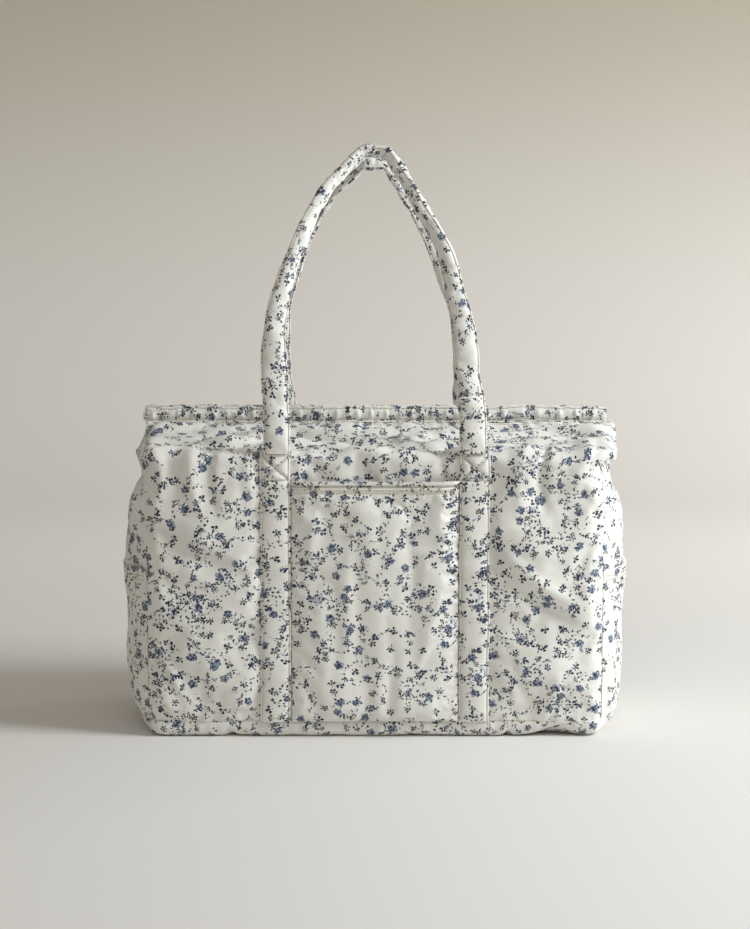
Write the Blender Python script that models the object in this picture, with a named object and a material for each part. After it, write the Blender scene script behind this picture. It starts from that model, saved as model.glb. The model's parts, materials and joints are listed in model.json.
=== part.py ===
"""Padded cotton knitting bag with a zipped roof, two carrying handles and outside pockets.

Frame: metres, +Z up, the front faces -Y, the origin is under the middle of the base.
The bag looks the same after half a turn about Z. So each mesh is made once, for the front
or the right side, and a second object shares it on the empty that is turned half round.
"""

import math

import bmesh
import bpy
from mathutils import Matrix, Vector

# Driving dimensions
SEAM_WIDTH = 0.460  # front panel, side seam to side seam
WALL_DEPTH = 0.208  # front face to back face of the padded walls
BASE_SEAM_Z = 0.016  # the turned-up base meets the walls
EDGE_Z = 0.289  # fold line, where the walls turn in and become the roof
RIDGE_Z = 0.3105  # underside of the zip tape
BAND_TOP_Z = 0.3285
APEX_Z = 0.599  # top of the raised front handle
STRAP_WIDTH = 0.028
STRAP_CENTRE_X = 0.098
POCKET_TOP_Z = 0.262
SIDE_POCKET_TOP_Z = 0.170

# Layers of a padded wall, from outside to inside
SHELL = 0.0015
WADDING = 0.005
ROOF_WADDING = 0.004
LINING = 0.001
PLY_GAP = 0.0005  # clearance between one ply and the next

WALL_Y = WALL_DEPTH / 2
SEAM_X = SEAM_WIDTH / 2 - 0.0005
CORNER_TURN = 0.008  # how far a wall's side edges turn back towards the gusset
GUSSET_HALF = 0.0935
GUSSET_BULGE = 0.019
POCKET_HALF = 0.083
POCKET_GAP = 0.0061  # how far the front pocket stands off its wall, and next the side pockets
SIDE_POCKET_GAP = 0.0080
OUTER_Y = 0.112  # outermost face of pocket and straps
ROOF_LENGTH = 0.0925
ROOF_SLOPE = math.radians(13.4)
SLIDER_X = -0.218  # closed position of the slider

# Colours, as red, green, blue, roughness, metallic
PRINTED_COTTON = (0.80, 0.78, 0.71, 0.75, 0.0)
PLAIN_COTTON = (0.82, 0.79, 0.70, 0.80, 0.0)
WHITE_WADDING = (0.92, 0.92, 0.90, 0.95, 0.0)
WOVEN_TAPE = (0.78, 0.75, 0.66, 0.85, 0.0)
ZIP_NYLON = (0.74, 0.70, 0.60, 0.45, 0.0)
ZIP_METAL = (0.72, 0.62, 0.42, 0.35, 1.0)
KNIT_ELASTIC = (0.90, 0.90, 0.88, 0.85, 0.0)


def clear_scene():
    for obj in list(bpy.data.objects):
        bpy.data.objects.remove(obj, do_unlink=True)


def finish(name, colour):
    """The material of that name, made on first use."""
    found = bpy.data.materials.get(name)
    if found:
        return found
    made = bpy.data.materials.new(name)
    made.use_nodes = True
    red, green, blue, roughness, metallic = colour
    shader = made.node_tree.nodes["Principled BSDF"]
    shader.inputs["Base Color"].default_value = (red, green, blue, 1.0)
    shader.inputs["Roughness"].default_value = roughness
    shader.inputs["Metallic"].default_value = metallic
    return made


def empty(name, location=(0, 0, 0), parent=None, half_turn=False):
    made = bpy.data.objects.new(name, None)
    bpy.context.scene.collection.objects.link(made)
    made.location = location
    made.rotation_euler.z = math.pi if half_turn else 0.0
    made.parent = parent
    return made


def put(name, mesh, parent, material):
    """An object of its own for this mesh, in the frame of its parent empty."""
    obj = bpy.data.objects.new(name, mesh)
    bpy.context.scene.collection.objects.link(obj)
    obj.parent = parent
    if not mesh.materials:
        mesh.materials.append(material)
    return obj


def put_pair(names, mesh, parents, material):
    return [put(name, mesh, parent, material) for name, parent in zip(names, parents)]


def add_bevel(obj, width, segments=2):
    bevel = obj.modifiers.new("rounded_edges", "BEVEL")
    bevel.width = width
    bevel.segments = segments
    bevel.limit_method = "ANGLE"
    return obj


def mesh_from(name, bm, smooth_below=40):
    bmesh.ops.recalc_face_normals(bm, faces=bm.faces)
    mesh = bpy.data.meshes.new(name)
    bm.to_mesh(mesh)
    bm.free()
    mesh.shade_smooth()
    mesh.set_sharp_from_angle(angle=math.radians(smooth_below))
    return mesh


def add_bands(bm, rings, shift):
    """Adds rings of equally many points, joins each to the next, and returns them."""
    made = [[bm.verts.new(Vector(point) + shift) for point in ring] for ring in rings]
    for near, far in zip(made, made[1:]):
        join_rings(bm, near, far)
    return made


def join_rings(bm, near, far):
    for i in range(len(near)):
        j = (i + 1) % len(near)
        bm.faces.new((near[i], near[j], far[j], far[i]))


def lofted(name, rings, moved_by=(0, 0, 0)):
    """Closed solid through the rings, capped at both ends."""
    bm = bmesh.new()
    made = add_bands(bm, rings, Vector(moved_by))
    bm.faces.new(made[0][::-1])
    bm.faces.new(made[-1])
    return mesh_from(name, bm)


def tube(name, outer, inner, moved_by=(0, 0, 0)):
    """Solid between two sets of rings, open at both ends."""
    bm = bmesh.new()
    made_outer = add_bands(bm, outer, Vector(moved_by))
    made_inner = add_bands(bm, inner, Vector(moved_by))
    for end in (0, -1):
        join_rings(bm, made_outer[end], made_inner[end])
    return mesh_from(name, bm)


def block(name, low, high, moved_by=(0, 0, 0)):
    """Plain box between two corners."""
    (x0, y0, z0), (x1, y1, z1) = low, high
    ring = [(x0, y0), (x1, y0), (x1, y1), (x0, y1)]
    return lofted(name, [[(x, y, z) for x, y in ring] for z in (z0, z1)], moved_by)


def sheet(name, across, up, surface, thickness):
    """Closed ply: a grid over surface(u, v), thickened to the inside."""
    bm = bmesh.new()
    grid = [[bm.verts.new(surface(u, v)) for u in across] for v in up]
    for low, high in zip(grid, grid[1:]):
        for i in range(len(low) - 1):
            bm.faces.new((low[i], low[i + 1], high[i + 1], high[i]))
    bm.normal_update()
    inner = [[bm.verts.new(vert.co - vert.normal * thickness) for vert in row] for row in grid]
    for low, high in zip(inner, inner[1:]):
        for i in range(len(low) - 1):
            bm.faces.new((low[i + 1], low[i], high[i], high[i + 1]))

    def rim(rows):
        right = [row[-1] for row in rows[1:-1]]
        left = [row[0] for row in rows[-2:0:-1]]
        return rows[0] + right + rows[-1][::-1] + left

    outer_rim, inner_rim = rim(grid), rim(inner)
    for i in range(len(outer_rim)):
        j = (i + 1) % len(outer_rim)
        bm.faces.new((outer_rim[i], inner_rim[i], inner_rim[j], outer_rim[j]))
    return mesh_from(name, bm)


def rounded_outline(half_a, half_b, radius, steps=6):
    """Points round a rectangle with round corners, anticlockwise."""
    points = []
    for quarter, (sa, sb) in enumerate(((1, 1), (-1, 1), (-1, -1), (1, -1))):
        for step in range(steps + 1):
            angle = math.pi / 2 * (quarter + step / steps)
            a = sa * (half_a - radius) + radius * math.cos(angle)
            b = sb * (half_b - radius) + radius * math.sin(angle)
            points.append((a, b))
    return points


def spaced(low, high, count, ends=1.0):
    """count + 1 values from low to high, closer together at both ends as ends grows."""
    values = []
    for i in range(count + 1):
        t = 2 * i / count - 1
        t = math.copysign(1 - (1 - abs(t)) ** ends, t)
        values.append(low + (high - low) * (t + 1) / 2)
    return values


# Base


def base_ring(inset, z, corner=0.030):
    half_x, half_y = SEAM_WIDTH / 2 - inset, WALL_Y - 0.0005 - inset
    return [(x, y, z) for x, y in rounded_outline(half_x, half_y, corner - inset)]


def make_base(bag):
    rim = BASE_SEAM_Z - PLY_GAP
    outside = [(0.006, 0.0), (0.0018, 0.0018), (0.0, 0.006), (0.0, rim)]
    inside = [(SHELL, rim), (SHELL, 0.0070), (0.0032, 0.0033), (0.0070, SHELL)]
    tray = lofted("bottom_panel", [base_ring(inset, z) for inset, z in outside + inside])
    put("bottom_panel", tray, bag, finish("printed_cotton", PRINTED_COTTON))
    levels = [(0.0095, SHELL + PLY_GAP), (0.0024, 0.0085), (0.0024, rim)]
    pad = lofted("bottom_wadding", [base_ring(inset, z) for inset, z in levels])
    put("bottom_wadding", pad, bag, finish("wadding", WHITE_WADDING))


# Walls


def wall_y(x):
    """Outer face of the front panel, whose side edges turn back to the gusset."""
    turn = max(0.0, abs(x) - (SEAM_X - 0.012)) / 0.012
    return -WALL_Y + CORNER_TURN * turn**2


def gusset_x(y, z):
    """Outer face of the right gusset: full between its seams, pinched under the roof."""
    rise = 1 - math.exp(-(z - BASE_SEAM_Z) / 0.015)
    pinch = 1 - 0.55 * math.exp(-(((z - 0.268) / 0.014) ** 2))
    fall = 1 - abs(y / GUSSET_HALF) ** 4
    return SEAM_X + fall * pinch * GUSSET_BULGE * rise


def make_walls(sides):
    cotton = finish("printed_cotton", PRINTED_COTTON)
    stuffing = finish("wadding", WHITE_WADDING)
    corner = [SEAM_X, SEAM_X - 0.004, SEAM_X - 0.008, SEAM_X - 0.012]
    columns = [-x for x in corner] + corner[::-1]
    rows = [BASE_SEAM_Z, EDGE_Z - PLY_GAP]
    panel = sheet("front_panel", columns, rows, lambda x, z: (x, wall_y(x), z), SHELL)
    put_pair(("front_panel", "back_panel"), panel, sides, cotton)

    columns = spaced(-GUSSET_HALF, GUSSET_HALF, 8, 1.6)
    rows = [BASE_SEAM_Z, 0.026, 0.040, 0.065, 0.168, 0.240]
    rows += [0.254, 0.268, 0.280, EDGE_Z - PLY_GAP]
    gusset = sheet("gusset", columns, rows, lambda y, z: (gusset_x(y, z), y, z), SHELL)
    put_pair(("right_gusset", "left_gusset"), gusset, sides, cotton)

    outer = WALL_Y - SHELL - PLY_GAP
    low = (0.0125 - SEAM_X, -outer, BASE_SEAM_Z + 0.002)
    high = (SEAM_X - 0.0125, WADDING - outer, EDGE_Z - 0.003)
    pad = block("wall_wadding", low, high)
    put_pair(("front_wadding", "back_wadding"), pad, sides, stuffing)

    half, inset = GUSSET_HALF - 0.0035, SHELL + 0.0020
    columns = spaced(-half, half, 8, 1.6)
    rows = [BASE_SEAM_Z + 0.004, *rows[1:-1], EDGE_Z - 0.003]
    surface = lambda y, z: (gusset_x(y, z) - inset, y, z)
    pad = sheet("gusset_wadding", columns, rows, surface, 0.5 * WADDING)
    put_pair(("right_wadding", "left_wadding"), pad, sides, stuffing)


def make_lining(bag):
    """The inner bag: one open-topped box of thin cotton."""
    half_y = WALL_Y - SHELL - WADDING - 2 * PLY_GAP
    half_x = SEAM_X - 0.0075
    floor, top = BASE_SEAM_Z + PLY_GAP, EDGE_Z - 0.0025

    def ring(inset, z):
        outline = rounded_outline(half_x - inset, half_y - inset, 0.006 - inset, 3)
        return [(x, y, z) for x, y in outline]

    levels = [(0.0, floor), (0.0, top), (LINING, top), (LINING, floor + LINING)]
    mesh = lofted("lining", [ring(inset, z) for inset, z in levels])
    put("lining", mesh, bag, finish("plain_cotton", PLAIN_COTTON))


FOLD_X = (0.2348, 0.2425, 0.2465)  # inner face, start of the chamfer, outer face
FOLD_HALF = (0.0930, 0.0130)  # half widths at the bottom and the top


def make_gusset_folds(sides):
    """The gusset's top, folded flat behind the ends of the roof."""
    inner_x, edge_x, outer_x = FOLD_X
    low, high = EDGE_Z + PLY_GAP, RIDGE_Z - 0.0027
    bottom_y, top_y = FOLD_HALF
    outline = [(-bottom_y, low), (bottom_y, low), (top_y, high), (-top_y, high)]
    chamfered = [(y * 0.96, low + (z - low) * 0.9) for y, z in outline]
    rings = [(inner_x, outline), (edge_x, outline), (outer_x, chamfered)]
    mesh = lofted("gusset_fold", [[(x, y, z) for y, z in ring] for x, ring in rings])
    names = ("right_gusset_fold", "left_gusset_fold")
    put_pair(names, mesh, sides, finish("printed_cotton", PRINTED_COTTON))


# Pockets


def front_pocket_y(x, z):
    """Outer face of the patch pocket, which closes on the panel at its sides and foot."""
    sides = 1 - abs(x / POCKET_HALF) ** 10
    foot = 1 - math.exp(-(z - BASE_SEAM_Z) / 0.004)
    return -WALL_Y - PLY_GAP - SHELL - POCKET_GAP * sides * foot


def side_pocket_x(y, z):
    sides = 1 - abs(y / (GUSSET_HALF - 0.001)) ** 8
    foot = 1 - math.exp(-(z - BASE_SEAM_Z) / 0.005)
    return gusset_x(y, z) + PLY_GAP + SHELL + SIDE_POCKET_GAP * sides * foot


def make_front_pocket(bag):
    cotton = finish("printed_cotton", PRINTED_COTTON)
    half = POCKET_HALF
    columns = [-half, -0.081, -0.077, -0.070, -0.055, 0.055, 0.070, 0.077, 0.081, half]
    seam = POCKET_TOP_Z - 0.012
    rows = [BASE_SEAM_Z + PLY_GAP, 0.020, 0.026, 0.040, seam]
    surface = lambda x, z: (x, front_pocket_y(x, z), z)
    put("front_pocket", sheet("front_pocket", columns, rows, surface, SHELL), bag, cotton)
    rows = [seam + PLY_GAP, POCKET_TOP_Z]
    hem = sheet("front_pocket_hem", columns, rows, surface, SHELL + 0.0004)
    put("front_pocket_hem", hem, bag, cotton)


def make_side_pockets(sides):
    """Gusset pockets. The hem is a folded channel, open below, with elastic inside."""
    cotton = finish("printed_cotton", PRINTED_COTTON)
    half = GUSSET_HALF - 0.002
    columns = spaced(-half, half, 10, 2.2)
    seam = SIDE_POCKET_TOP_Z - 0.012
    rows = [BASE_SEAM_Z + PLY_GAP, 0.021, 0.028, 0.040, 0.065, seam]
    surface = lambda y, z: (side_pocket_x(y, z), y, z)
    pocket = sheet("side_pocket", columns, rows, surface, SHELL)
    put_pair(("right_side_pocket", "left_side_pocket"), pocket, sides, cotton)

    low, high, ply = seam + PLY_GAP, SIDE_POCKET_TOP_Z, 0.0008
    cavity = 0.0016
    depth = 2 * ply + cavity
    channel = [
        (0.0, low),
        (0.0, high),
        (-depth, high),
        (-depth, low),
        (ply - depth, low),
        (ply - depth, high - ply),
        (-ply, high - ply),
        (-ply, low),
    ]
    band = [(-0.0012, low), (-0.0012, high - 0.0014), (-0.0020, high - 0.0014), (-0.0020, low)]
    # The gathered hem stays clear of the gusset, so it stops short of the seams.
    reach = half - 0.004
    stations = spaced(-reach, reach, 10, 1.8)
    mid_z = (low + high) / 2

    def along(profile):
        rings = []
        for y in stations:
            x = side_pocket_x(y, mid_z)
            rings.append([(x + dx, y, z) for dx, z in profile])
        return rings

    hem = lofted("side_pocket_hem", along(channel))
    put_pair(("right_pocket_hem", "left_pocket_hem"), hem, sides, cotton)
    elastic = lofted("side_pocket_elastic", along(band))
    names = ("right_pocket_elastic", "left_pocket_elastic")
    put_pair(names, elastic, sides, finish("elastic", KNIT_ELASTIC))


# Straps and handles


def make_straps(sides):
    """The sewn-down lower lengths of the handle webbing."""
    low_z, high_z = BASE_SEAM_Z + PLY_GAP, EDGE_Z - 0.0008
    back, front = -WALL_Y - PLY_GAP, -OUTER_Y
    cotton = finish("printed_cotton", PRINTED_COTTON)
    half = STRAP_WIDTH / 2
    for side, sign in (("right", 1), ("left", -1)):
        low = (sign * STRAP_CENTRE_X - half, front, low_z)
        high = (sign * STRAP_CENTRE_X + half, back, high_z)
        mesh = block("strap_" + side, low, high)
        # Half a turn swaps right and left, so the back strap takes the other name.
        other = "left" if side == "right" else "right"
        names = ("front_strap_" + side, "back_strap_" + other)
        for obj in put_pair(names, mesh, sides, cotton):
            add_bevel(obj, 0.0022)


HANDLE_THICKNESS = 0.009
HANDLE_COVER = 0.001
HANDLE_FOOT = Vector((STRAP_CENTRE_X, -0.1084, EDGE_Z + 0.0006))
HANDLE_PIVOT = Vector((0.0, -0.1135, EDGE_Z))
HANDLE_LEAN = 0.095  # how far the top of a raised handle leans in
BACK_HANDLE_DROP = 0.012  # the back handle's arch is this much lower than the front's
APEX_DROP = 0.0095  # centre line below the apex, where the strap lies slanting
TOP_TWIST = math.radians(62)  # how far the strap has turned edge-on at the top
ROLL_IN = 0.25  # share of its width that the strap loses towards the top, as its edges roll in
ROLL_SWELL = 0.30  # share of its thickness that it gains there
LEG_TOP_Z = 0.308  # the legs are straight up to here, then they arch inwards
ARCH_RISE = 0.160  # lengths of the two tangents that shape the arch
ARCH_SHOULDER = (0.046, 0.048)
APEX_FLAT = 0.012  # half the level stretch at the top


def bezier(points, t):
    """Point at t on the cubic curve with these four control points."""
    a, b, c, d = (Vector(point) for point in points)
    s = 1 - t
    return a * s**3 + b * (3 * s * s * t) + c * (3 * s * t * t) + d * t**3


def handle_centres(apex_z, steps=12):
    """Centre line of the raised handle, from the right foot over the top to the left."""
    top_z = apex_z - APEX_DROP
    arch = [
        (STRAP_CENTRE_X, LEG_TOP_Z),
        (STRAP_CENTRE_X, LEG_TOP_Z + ARCH_RISE),
        (APEX_FLAT + ARCH_SHOULDER[0], top_z - ARCH_SHOULDER[1]),
        (APEX_FLAT, top_z),
    ]
    flat = [HANDLE_FOOT.xz] + [bezier(arch, i / steps) for i in range(steps + 1)]
    flat.append(Vector((0.0, top_z)))
    right = []
    for x, z in flat:
        climbed = (z - HANDLE_FOOT.z) / (top_z - HANDLE_FOOT.z)
        right.append(Vector((x, HANDLE_FOOT.y + HANDLE_LEAN * climbed**1.3, z)))
    left = [Vector((-point.x, point.y, point.z)) for point in right[-2::-1]]
    return right + left


def eased(value, low, high):
    """0 below low, 1 above high, and an even curve in between."""
    t = min(max((value - low) / (high - low), 0.0), 1.0)
    return t * t * (3 - 2 * t)


def handle_sections(apex_z):
    """Centre, width vector and thickness vector of each station of a handle.

    The strap is flat to the wall at its feet. Towards the top it turns edge-on and rolls in,
    so that it is narrower and thicker there.
    """
    centres = handle_centres(apex_z)
    last = len(centres) - 1
    sections = []
    for i, centre in enumerate(centres):
        along = (centres[min(i + 1, last)] - centres[max(i - 1, 0)]).normalized()
        if i in (0, last):
            along = Vector((0, 0, 1 if i == 0 else -1))
        facing = Vector((0, -1, 0))
        facing = (facing - along * facing.dot(along)).normalized()
        climbed = (centre.z - HANDLE_FOOT.z) / (apex_z - APEX_DROP - HANDLE_FOOT.z)
        turned = TOP_TWIST * eased(climbed, 0.35, 1.0)
        rolled = eased(climbed, 0.15, 0.80)
        wide = along.cross(facing) * math.cos(turned) + facing * math.sin(turned)
        thick = along.cross(wide)
        sections.append((centre, wide * (1 - ROLL_IN * rolled), thick * (1 + ROLL_SWELL * rolled)))
    return sections


def handle_rings(apex_z, inset, corner, corner_steps):
    outline = rounded_outline(
        STRAP_WIDTH / 2 - inset, HANDLE_THICKNESS / 2 - inset, corner, corner_steps
    )
    return [
        [centre + wide * a + thick * b for a, b in outline]
        for centre, wide, thick in handle_sections(apex_z)
    ]


def make_handles(pivots):
    """For each handle a cotton tube, open at both feet, over a flat padded core."""
    cotton = finish("printed_cotton", PRINTED_COTTON)
    wadding = finish("wadding", WHITE_WADDING)
    for side, pivot, apex_z in zip(
        ("front", "back"), pivots, (APEX_Z, APEX_Z - BACK_HANDLE_DROP)
    ):
        outer = handle_rings(apex_z, 0.0, 0.0035, 2)
        inner = handle_rings(apex_z, HANDLE_COVER, 0.0025, 2)
        put(side + "_handle", tube(side + "_handle", outer, inner, -HANDLE_PIVOT), pivot, cotton)
        core = handle_rings(apex_z, HANDLE_COVER + 0.0005, 0.002, 1)
        mesh = lofted(side + "_handle_core", core, -HANDLE_PIVOT)
        put(side + "_handle_core", mesh, pivot, wadding)


# Roof and zip

MOUTH_PIVOT = Vector((0.0, 0.001 - WALL_Y, EDGE_Z))
ROOF_HALF = 0.233
BAND_HALF = 0.2415
BAND_Y = (-0.0115, -0.0055)
TAPE_Y = (-0.0130, -0.0027)
COIL_Y = (-0.0024, -0.0008)
COIL_Z = (RIDGE_Z - 0.0005, RIDGE_Z + 0.0013)
COIL_HALF = 0.2260
TAPE_THICKNESS = 0.0008
TAPE_HALF = 0.2385
BAND_FOOT = 0.0013  # the bands stand this far above the underside of the tapes
STOP_GAP = 0.0004  # between the end of a coil and its stop
STOP_PROUD = 0.0002  # how far a stop is proud of the coil, above and below


def make_roof_ply(name, pivots, low, high, material):
    """Flat ply of the roof, in the mouth pivot's frame, laid at the roof's slope."""
    mesh = block(name, low, high)
    mesh.transform(Matrix.Rotation(ROOF_SLOPE, 4, "X"))
    put_pair(("front_" + name, "back_" + name), mesh, pivots, material)


def make_roof(pivots):
    outer_low, outer_high = (-ROOF_HALF, 0.002, 0.0), (ROOF_HALF, ROOF_LENGTH, SHELL)
    cotton = finish("printed_cotton", PRINTED_COTTON)
    make_roof_ply("roof_panel", pivots, outer_low, outer_high, cotton)
    # The inner plies stop inside the walls' wadding.
    half, near, far = 0.219, 0.0095, ROOF_LENGTH - 0.003
    under = -0.0004
    pad_low, pad_high = (-half, near, under - ROOF_WADDING), (half, far, under)
    make_roof_ply("roof_wadding", pivots, pad_low, pad_high, finish("wadding", WHITE_WADDING))
    under -= ROOF_WADDING + 0.0004
    low, high = (-half, near, under - LINING), (half, far, under)
    make_roof_ply("roof_lining", pivots, low, high, finish("plain_cotton", PLAIN_COTTON))


def make_zip_bands(pivots):
    """Padded bands that stand up on both sides of the zip."""
    low, high = RIDGE_Z + BAND_FOOT, BAND_TOP_Z
    outline = rounded_outline(BAND_HALF, (high - low) / 2, 0.0075, 4)
    middle = (low + high) / 2
    rings = [[(x, y, middle + z) for x, z in outline] for y in BAND_Y]
    mesh = lofted("zip_band", rings, -MOUTH_PIVOT)
    names = ("front_zip_band", "back_zip_band")
    for obj in put_pair(names, mesh, pivots, finish("printed_cotton", PRINTED_COTTON)):
        add_bevel(obj, 0.0012)


def make_zip_halves(pivots):
    low = (-TAPE_HALF, TAPE_Y[0], RIDGE_Z)
    high = (TAPE_HALF, TAPE_Y[1], RIDGE_Z + TAPE_THICKNESS)
    tape = block("zip_tape", low, high, -MOUTH_PIVOT)
    names = ("front_zip_tape", "back_zip_tape")
    put_pair(names, tape, pivots, finish("zip_tape", WOVEN_TAPE))
    low = (-COIL_HALF, COIL_Y[0], COIL_Z[0])
    high = (COIL_HALF, COIL_Y[1], COIL_Z[1])
    coil = block("zip_coil", low, high, -MOUTH_PIVOT)
    names = ("front_zip_coil", "back_zip_coil")
    put_pair(names, coil, pivots, finish("zip_coil", ZIP_NYLON))


def make_zip_stops(pivots):
    """Top stops at the closed end of each tape, and the bottom stop at the far end."""
    metal = finish("zip_metal", ZIP_METAL)
    inner = COIL_HALF + STOP_GAP
    for side, pivot, sign in (("front", pivots[0], -1), ("back", pivots[1], 1)):
        near, far = sorted((sign * inner, sign * (inner + 0.0026)))
        low = (near, COIL_Y[0], COIL_Z[0] - STOP_PROUD)
        high = (far, COIL_Y[1], COIL_Z[1] + STOP_PROUD)
        mesh = block(side + "_top_stop", low, high, -MOUTH_PIVOT)
        put(side + "_top_stop", mesh, pivot, metal)
    low = (inner, COIL_Y[0], COIL_Z[0] - 2 * STOP_PROUD)
    high = (inner + 0.0046, STOP_GAP, COIL_Z[1] + 2 * STOP_PROUD)
    put("zip_bottom_stop", block("zip_bottom_stop", low, high, -MOUTH_PIVOT), pivots[0], metal)


SLIDER_ORIGIN = Vector((SLIDER_X, 0.0, RIDGE_Z + 0.0004))
PULL_AXIS_Z = 0.0042  # above the slider's origin
SLIDER_HALF = (0.0060, 0.0045)
PLATE_Z = (0.0015, 0.0027)  # the upper plate, and mirrored below the tapes the lower one
WEB_HALF = (0.0050, 0.00045, 0.0025)
BAIL_HALF = (0.0032, 0.0042)  # inside and outside of the bail, along the zip
BAIL_Z = (0.0024, 0.0052, 0.0062)  # its foot, and the inside and outside of its top
BAIL_HALF_WIDTH = 0.0013
PIN_HALF = (0.0006, 0.0024)
ARM_Y = 0.0022
ARM_LENGTH = 0.0075
TAB_X = (0.0062, 0.0300)
TAB_HALF = (0.0030, 0.0006)


def extruded_y(name, outline, half_width):
    rings = [[(x, y, z) for x, z in outline] for y in (-half_width, half_width)]
    return lofted(name, rings)


def joined(name, meshes):
    """One closed mesh from overlapping solids, by exact Boolean unions."""
    objects = [put(name + "_piece", mesh, None, finish("zip_metal", ZIP_METAL)) for mesh in meshes]
    body = objects[0]
    for other in objects[1:]:
        union = body.modifiers.new("union", "BOOLEAN")
        union.operation = "UNION"
        union.object = other
    bpy.context.view_layer.update()
    graph = bpy.context.evaluated_depsgraph_get()
    mesh = bpy.data.meshes.new_from_object(body.evaluated_get(graph), depsgraph=graph)
    mesh.name = name
    for obj in objects:
        bpy.data.objects.remove(obj, do_unlink=True)
    return mesh


def make_slider(slider_empty):
    """Two plates joined by a web that runs between the coils, with a bail on top."""
    half_x, half_y = SLIDER_HALF
    low, high = PLATE_Z
    plates = [
        block("plate", (-half_x, -half_y, z0), (half_x, half_y, z1))
        for z0, z1 in ((low, high), (-high, -low))
    ]
    web = block("web", [-half for half in WEB_HALF], WEB_HALF)
    inner_x, outer_x = BAIL_HALF
    foot, inner_z, outer_z = BAIL_Z
    right = [
        (inner_x, inner_z),
        (inner_x, foot),
        (outer_x, foot),
        (outer_x, inner_z),
        (inner_x, outer_z),
    ]
    arch = [(-x, z) for x, z in reversed(right)] + right
    bail = extruded_y("bail", arch, BAIL_HALF_WIDTH)
    mesh = joined("zip_slider", [*plates, web, bail])
    put("zip_slider", mesh, slider_empty, finish("zip_metal", ZIP_METAL))


def make_pull(pull_empty):
    """A cross pin under the bail, two arms and a flat tab, lying along the zip."""
    radius, pin_half = PIN_HALF
    pin = extruded_y("pin", rounded_outline(radius, radius, 0.0005, 2), pin_half)
    arms = [
        block("arm", (-0.0007, y - 0.0005, -radius), (ARM_LENGTH, y + 0.0005, radius))
        for y in (-ARM_Y, ARM_Y)
    ]
    half_y, half_z = TAB_HALF
    tab = block("tab", (TAB_X[0], -half_y, -half_z), (TAB_X[1], half_y, half_z))
    mesh = joined("zip_pull", [pin, *arms, tab])
    put("zip_pull", mesh, pull_empty, finish("zip_metal", ZIP_METAL))


def main():
    clear_scene()
    bag = empty("bag")
    front, back = sides = [empty("front_side"), empty("back_side", half_turn=True)]
    mouths = [
        empty("front_mouth_pivot", MOUTH_PIVOT, front),
        empty("back_mouth_pivot", MOUTH_PIVOT, back),
    ]
    handles = [
        empty("front_handle_pivot", HANDLE_PIVOT, front),
        empty("back_handle_pivot", HANDLE_PIVOT, back),
    ]
    slider = empty("slider_track", SLIDER_ORIGIN)
    pull = empty("pull_pivot", (0.0, 0.0, PULL_AXIS_Z), slider)
    make_base(bag)
    make_walls(sides)
    make_lining(bag)
    make_gusset_folds(sides)
    make_front_pocket(bag)
    make_side_pockets(sides)
    make_straps(sides)
    make_handles(handles)
    make_roof(mouths)
    make_zip_bands(mouths)
    make_zip_halves(mouths)
    make_zip_stops(mouths)
    make_slider(slider)
    make_pull(pull)


main()
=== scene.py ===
"""The look of a padded cotton knitting bag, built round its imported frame.

Every cloth piece is a grid of points, rows by columns, so that a point's place on the flat
fabric is known: the print, the weave, the stitches and the puckers are all laid out there.
"""

import json
import math

import bmesh
import bpy
import numpy as np
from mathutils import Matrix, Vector


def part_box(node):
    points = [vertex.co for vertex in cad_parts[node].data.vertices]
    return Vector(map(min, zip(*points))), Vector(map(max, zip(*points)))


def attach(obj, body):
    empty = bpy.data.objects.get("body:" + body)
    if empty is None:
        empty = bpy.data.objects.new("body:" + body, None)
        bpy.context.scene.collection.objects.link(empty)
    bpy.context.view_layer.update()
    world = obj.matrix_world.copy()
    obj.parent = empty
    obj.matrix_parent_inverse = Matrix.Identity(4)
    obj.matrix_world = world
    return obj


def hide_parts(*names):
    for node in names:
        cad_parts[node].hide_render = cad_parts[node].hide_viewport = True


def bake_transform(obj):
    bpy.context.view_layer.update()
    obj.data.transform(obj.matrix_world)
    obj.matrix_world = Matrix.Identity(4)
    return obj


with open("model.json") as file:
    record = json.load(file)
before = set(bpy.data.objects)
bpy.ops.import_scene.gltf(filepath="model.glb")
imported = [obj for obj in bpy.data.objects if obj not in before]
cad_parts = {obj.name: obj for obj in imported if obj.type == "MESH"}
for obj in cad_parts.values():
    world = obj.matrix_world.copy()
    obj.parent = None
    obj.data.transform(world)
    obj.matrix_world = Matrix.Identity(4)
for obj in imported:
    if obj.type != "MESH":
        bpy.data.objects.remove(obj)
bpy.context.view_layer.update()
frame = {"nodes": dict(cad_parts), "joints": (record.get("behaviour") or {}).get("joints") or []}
MM = 0.001

# Places, read from the frame
wall_low, wall_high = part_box("front_panel")
WALL_Y = -wall_low.y
SEAM_X = wall_high.x
BASE_Z = wall_low.z
strap_low, strap_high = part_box("front_strap_right")
STRAP_X = (strap_low.x + strap_high.x) / 2
STRAP_HALF = (strap_high.x - strap_low.x) / 2
STRAP_BACK_Y = strap_high.y
POCKET_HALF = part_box("front_pocket")[1].x
POCKET_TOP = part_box("front_pocket_hem")[1].z
SIDE_POCKET_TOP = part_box("right_pocket_hem")[1].z
GUSSET_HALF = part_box("right_gusset")[1].y
GABLE_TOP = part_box("right_gusset_fold")[1].z
BAND_LOW, BAND_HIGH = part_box("front_zip_band")
TAPE_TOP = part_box("front_zip_tape")[1].z
COIL_LOW, COIL_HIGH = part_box("front_zip_coil")
HANDLE_FOOT_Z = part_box("front_handle")[0].z
HINGES = {joint["name"]: joint for joint in frame["joints"]}
EDGE_Z = HINGES["front_mouth"]["pos_m"][2]

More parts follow.
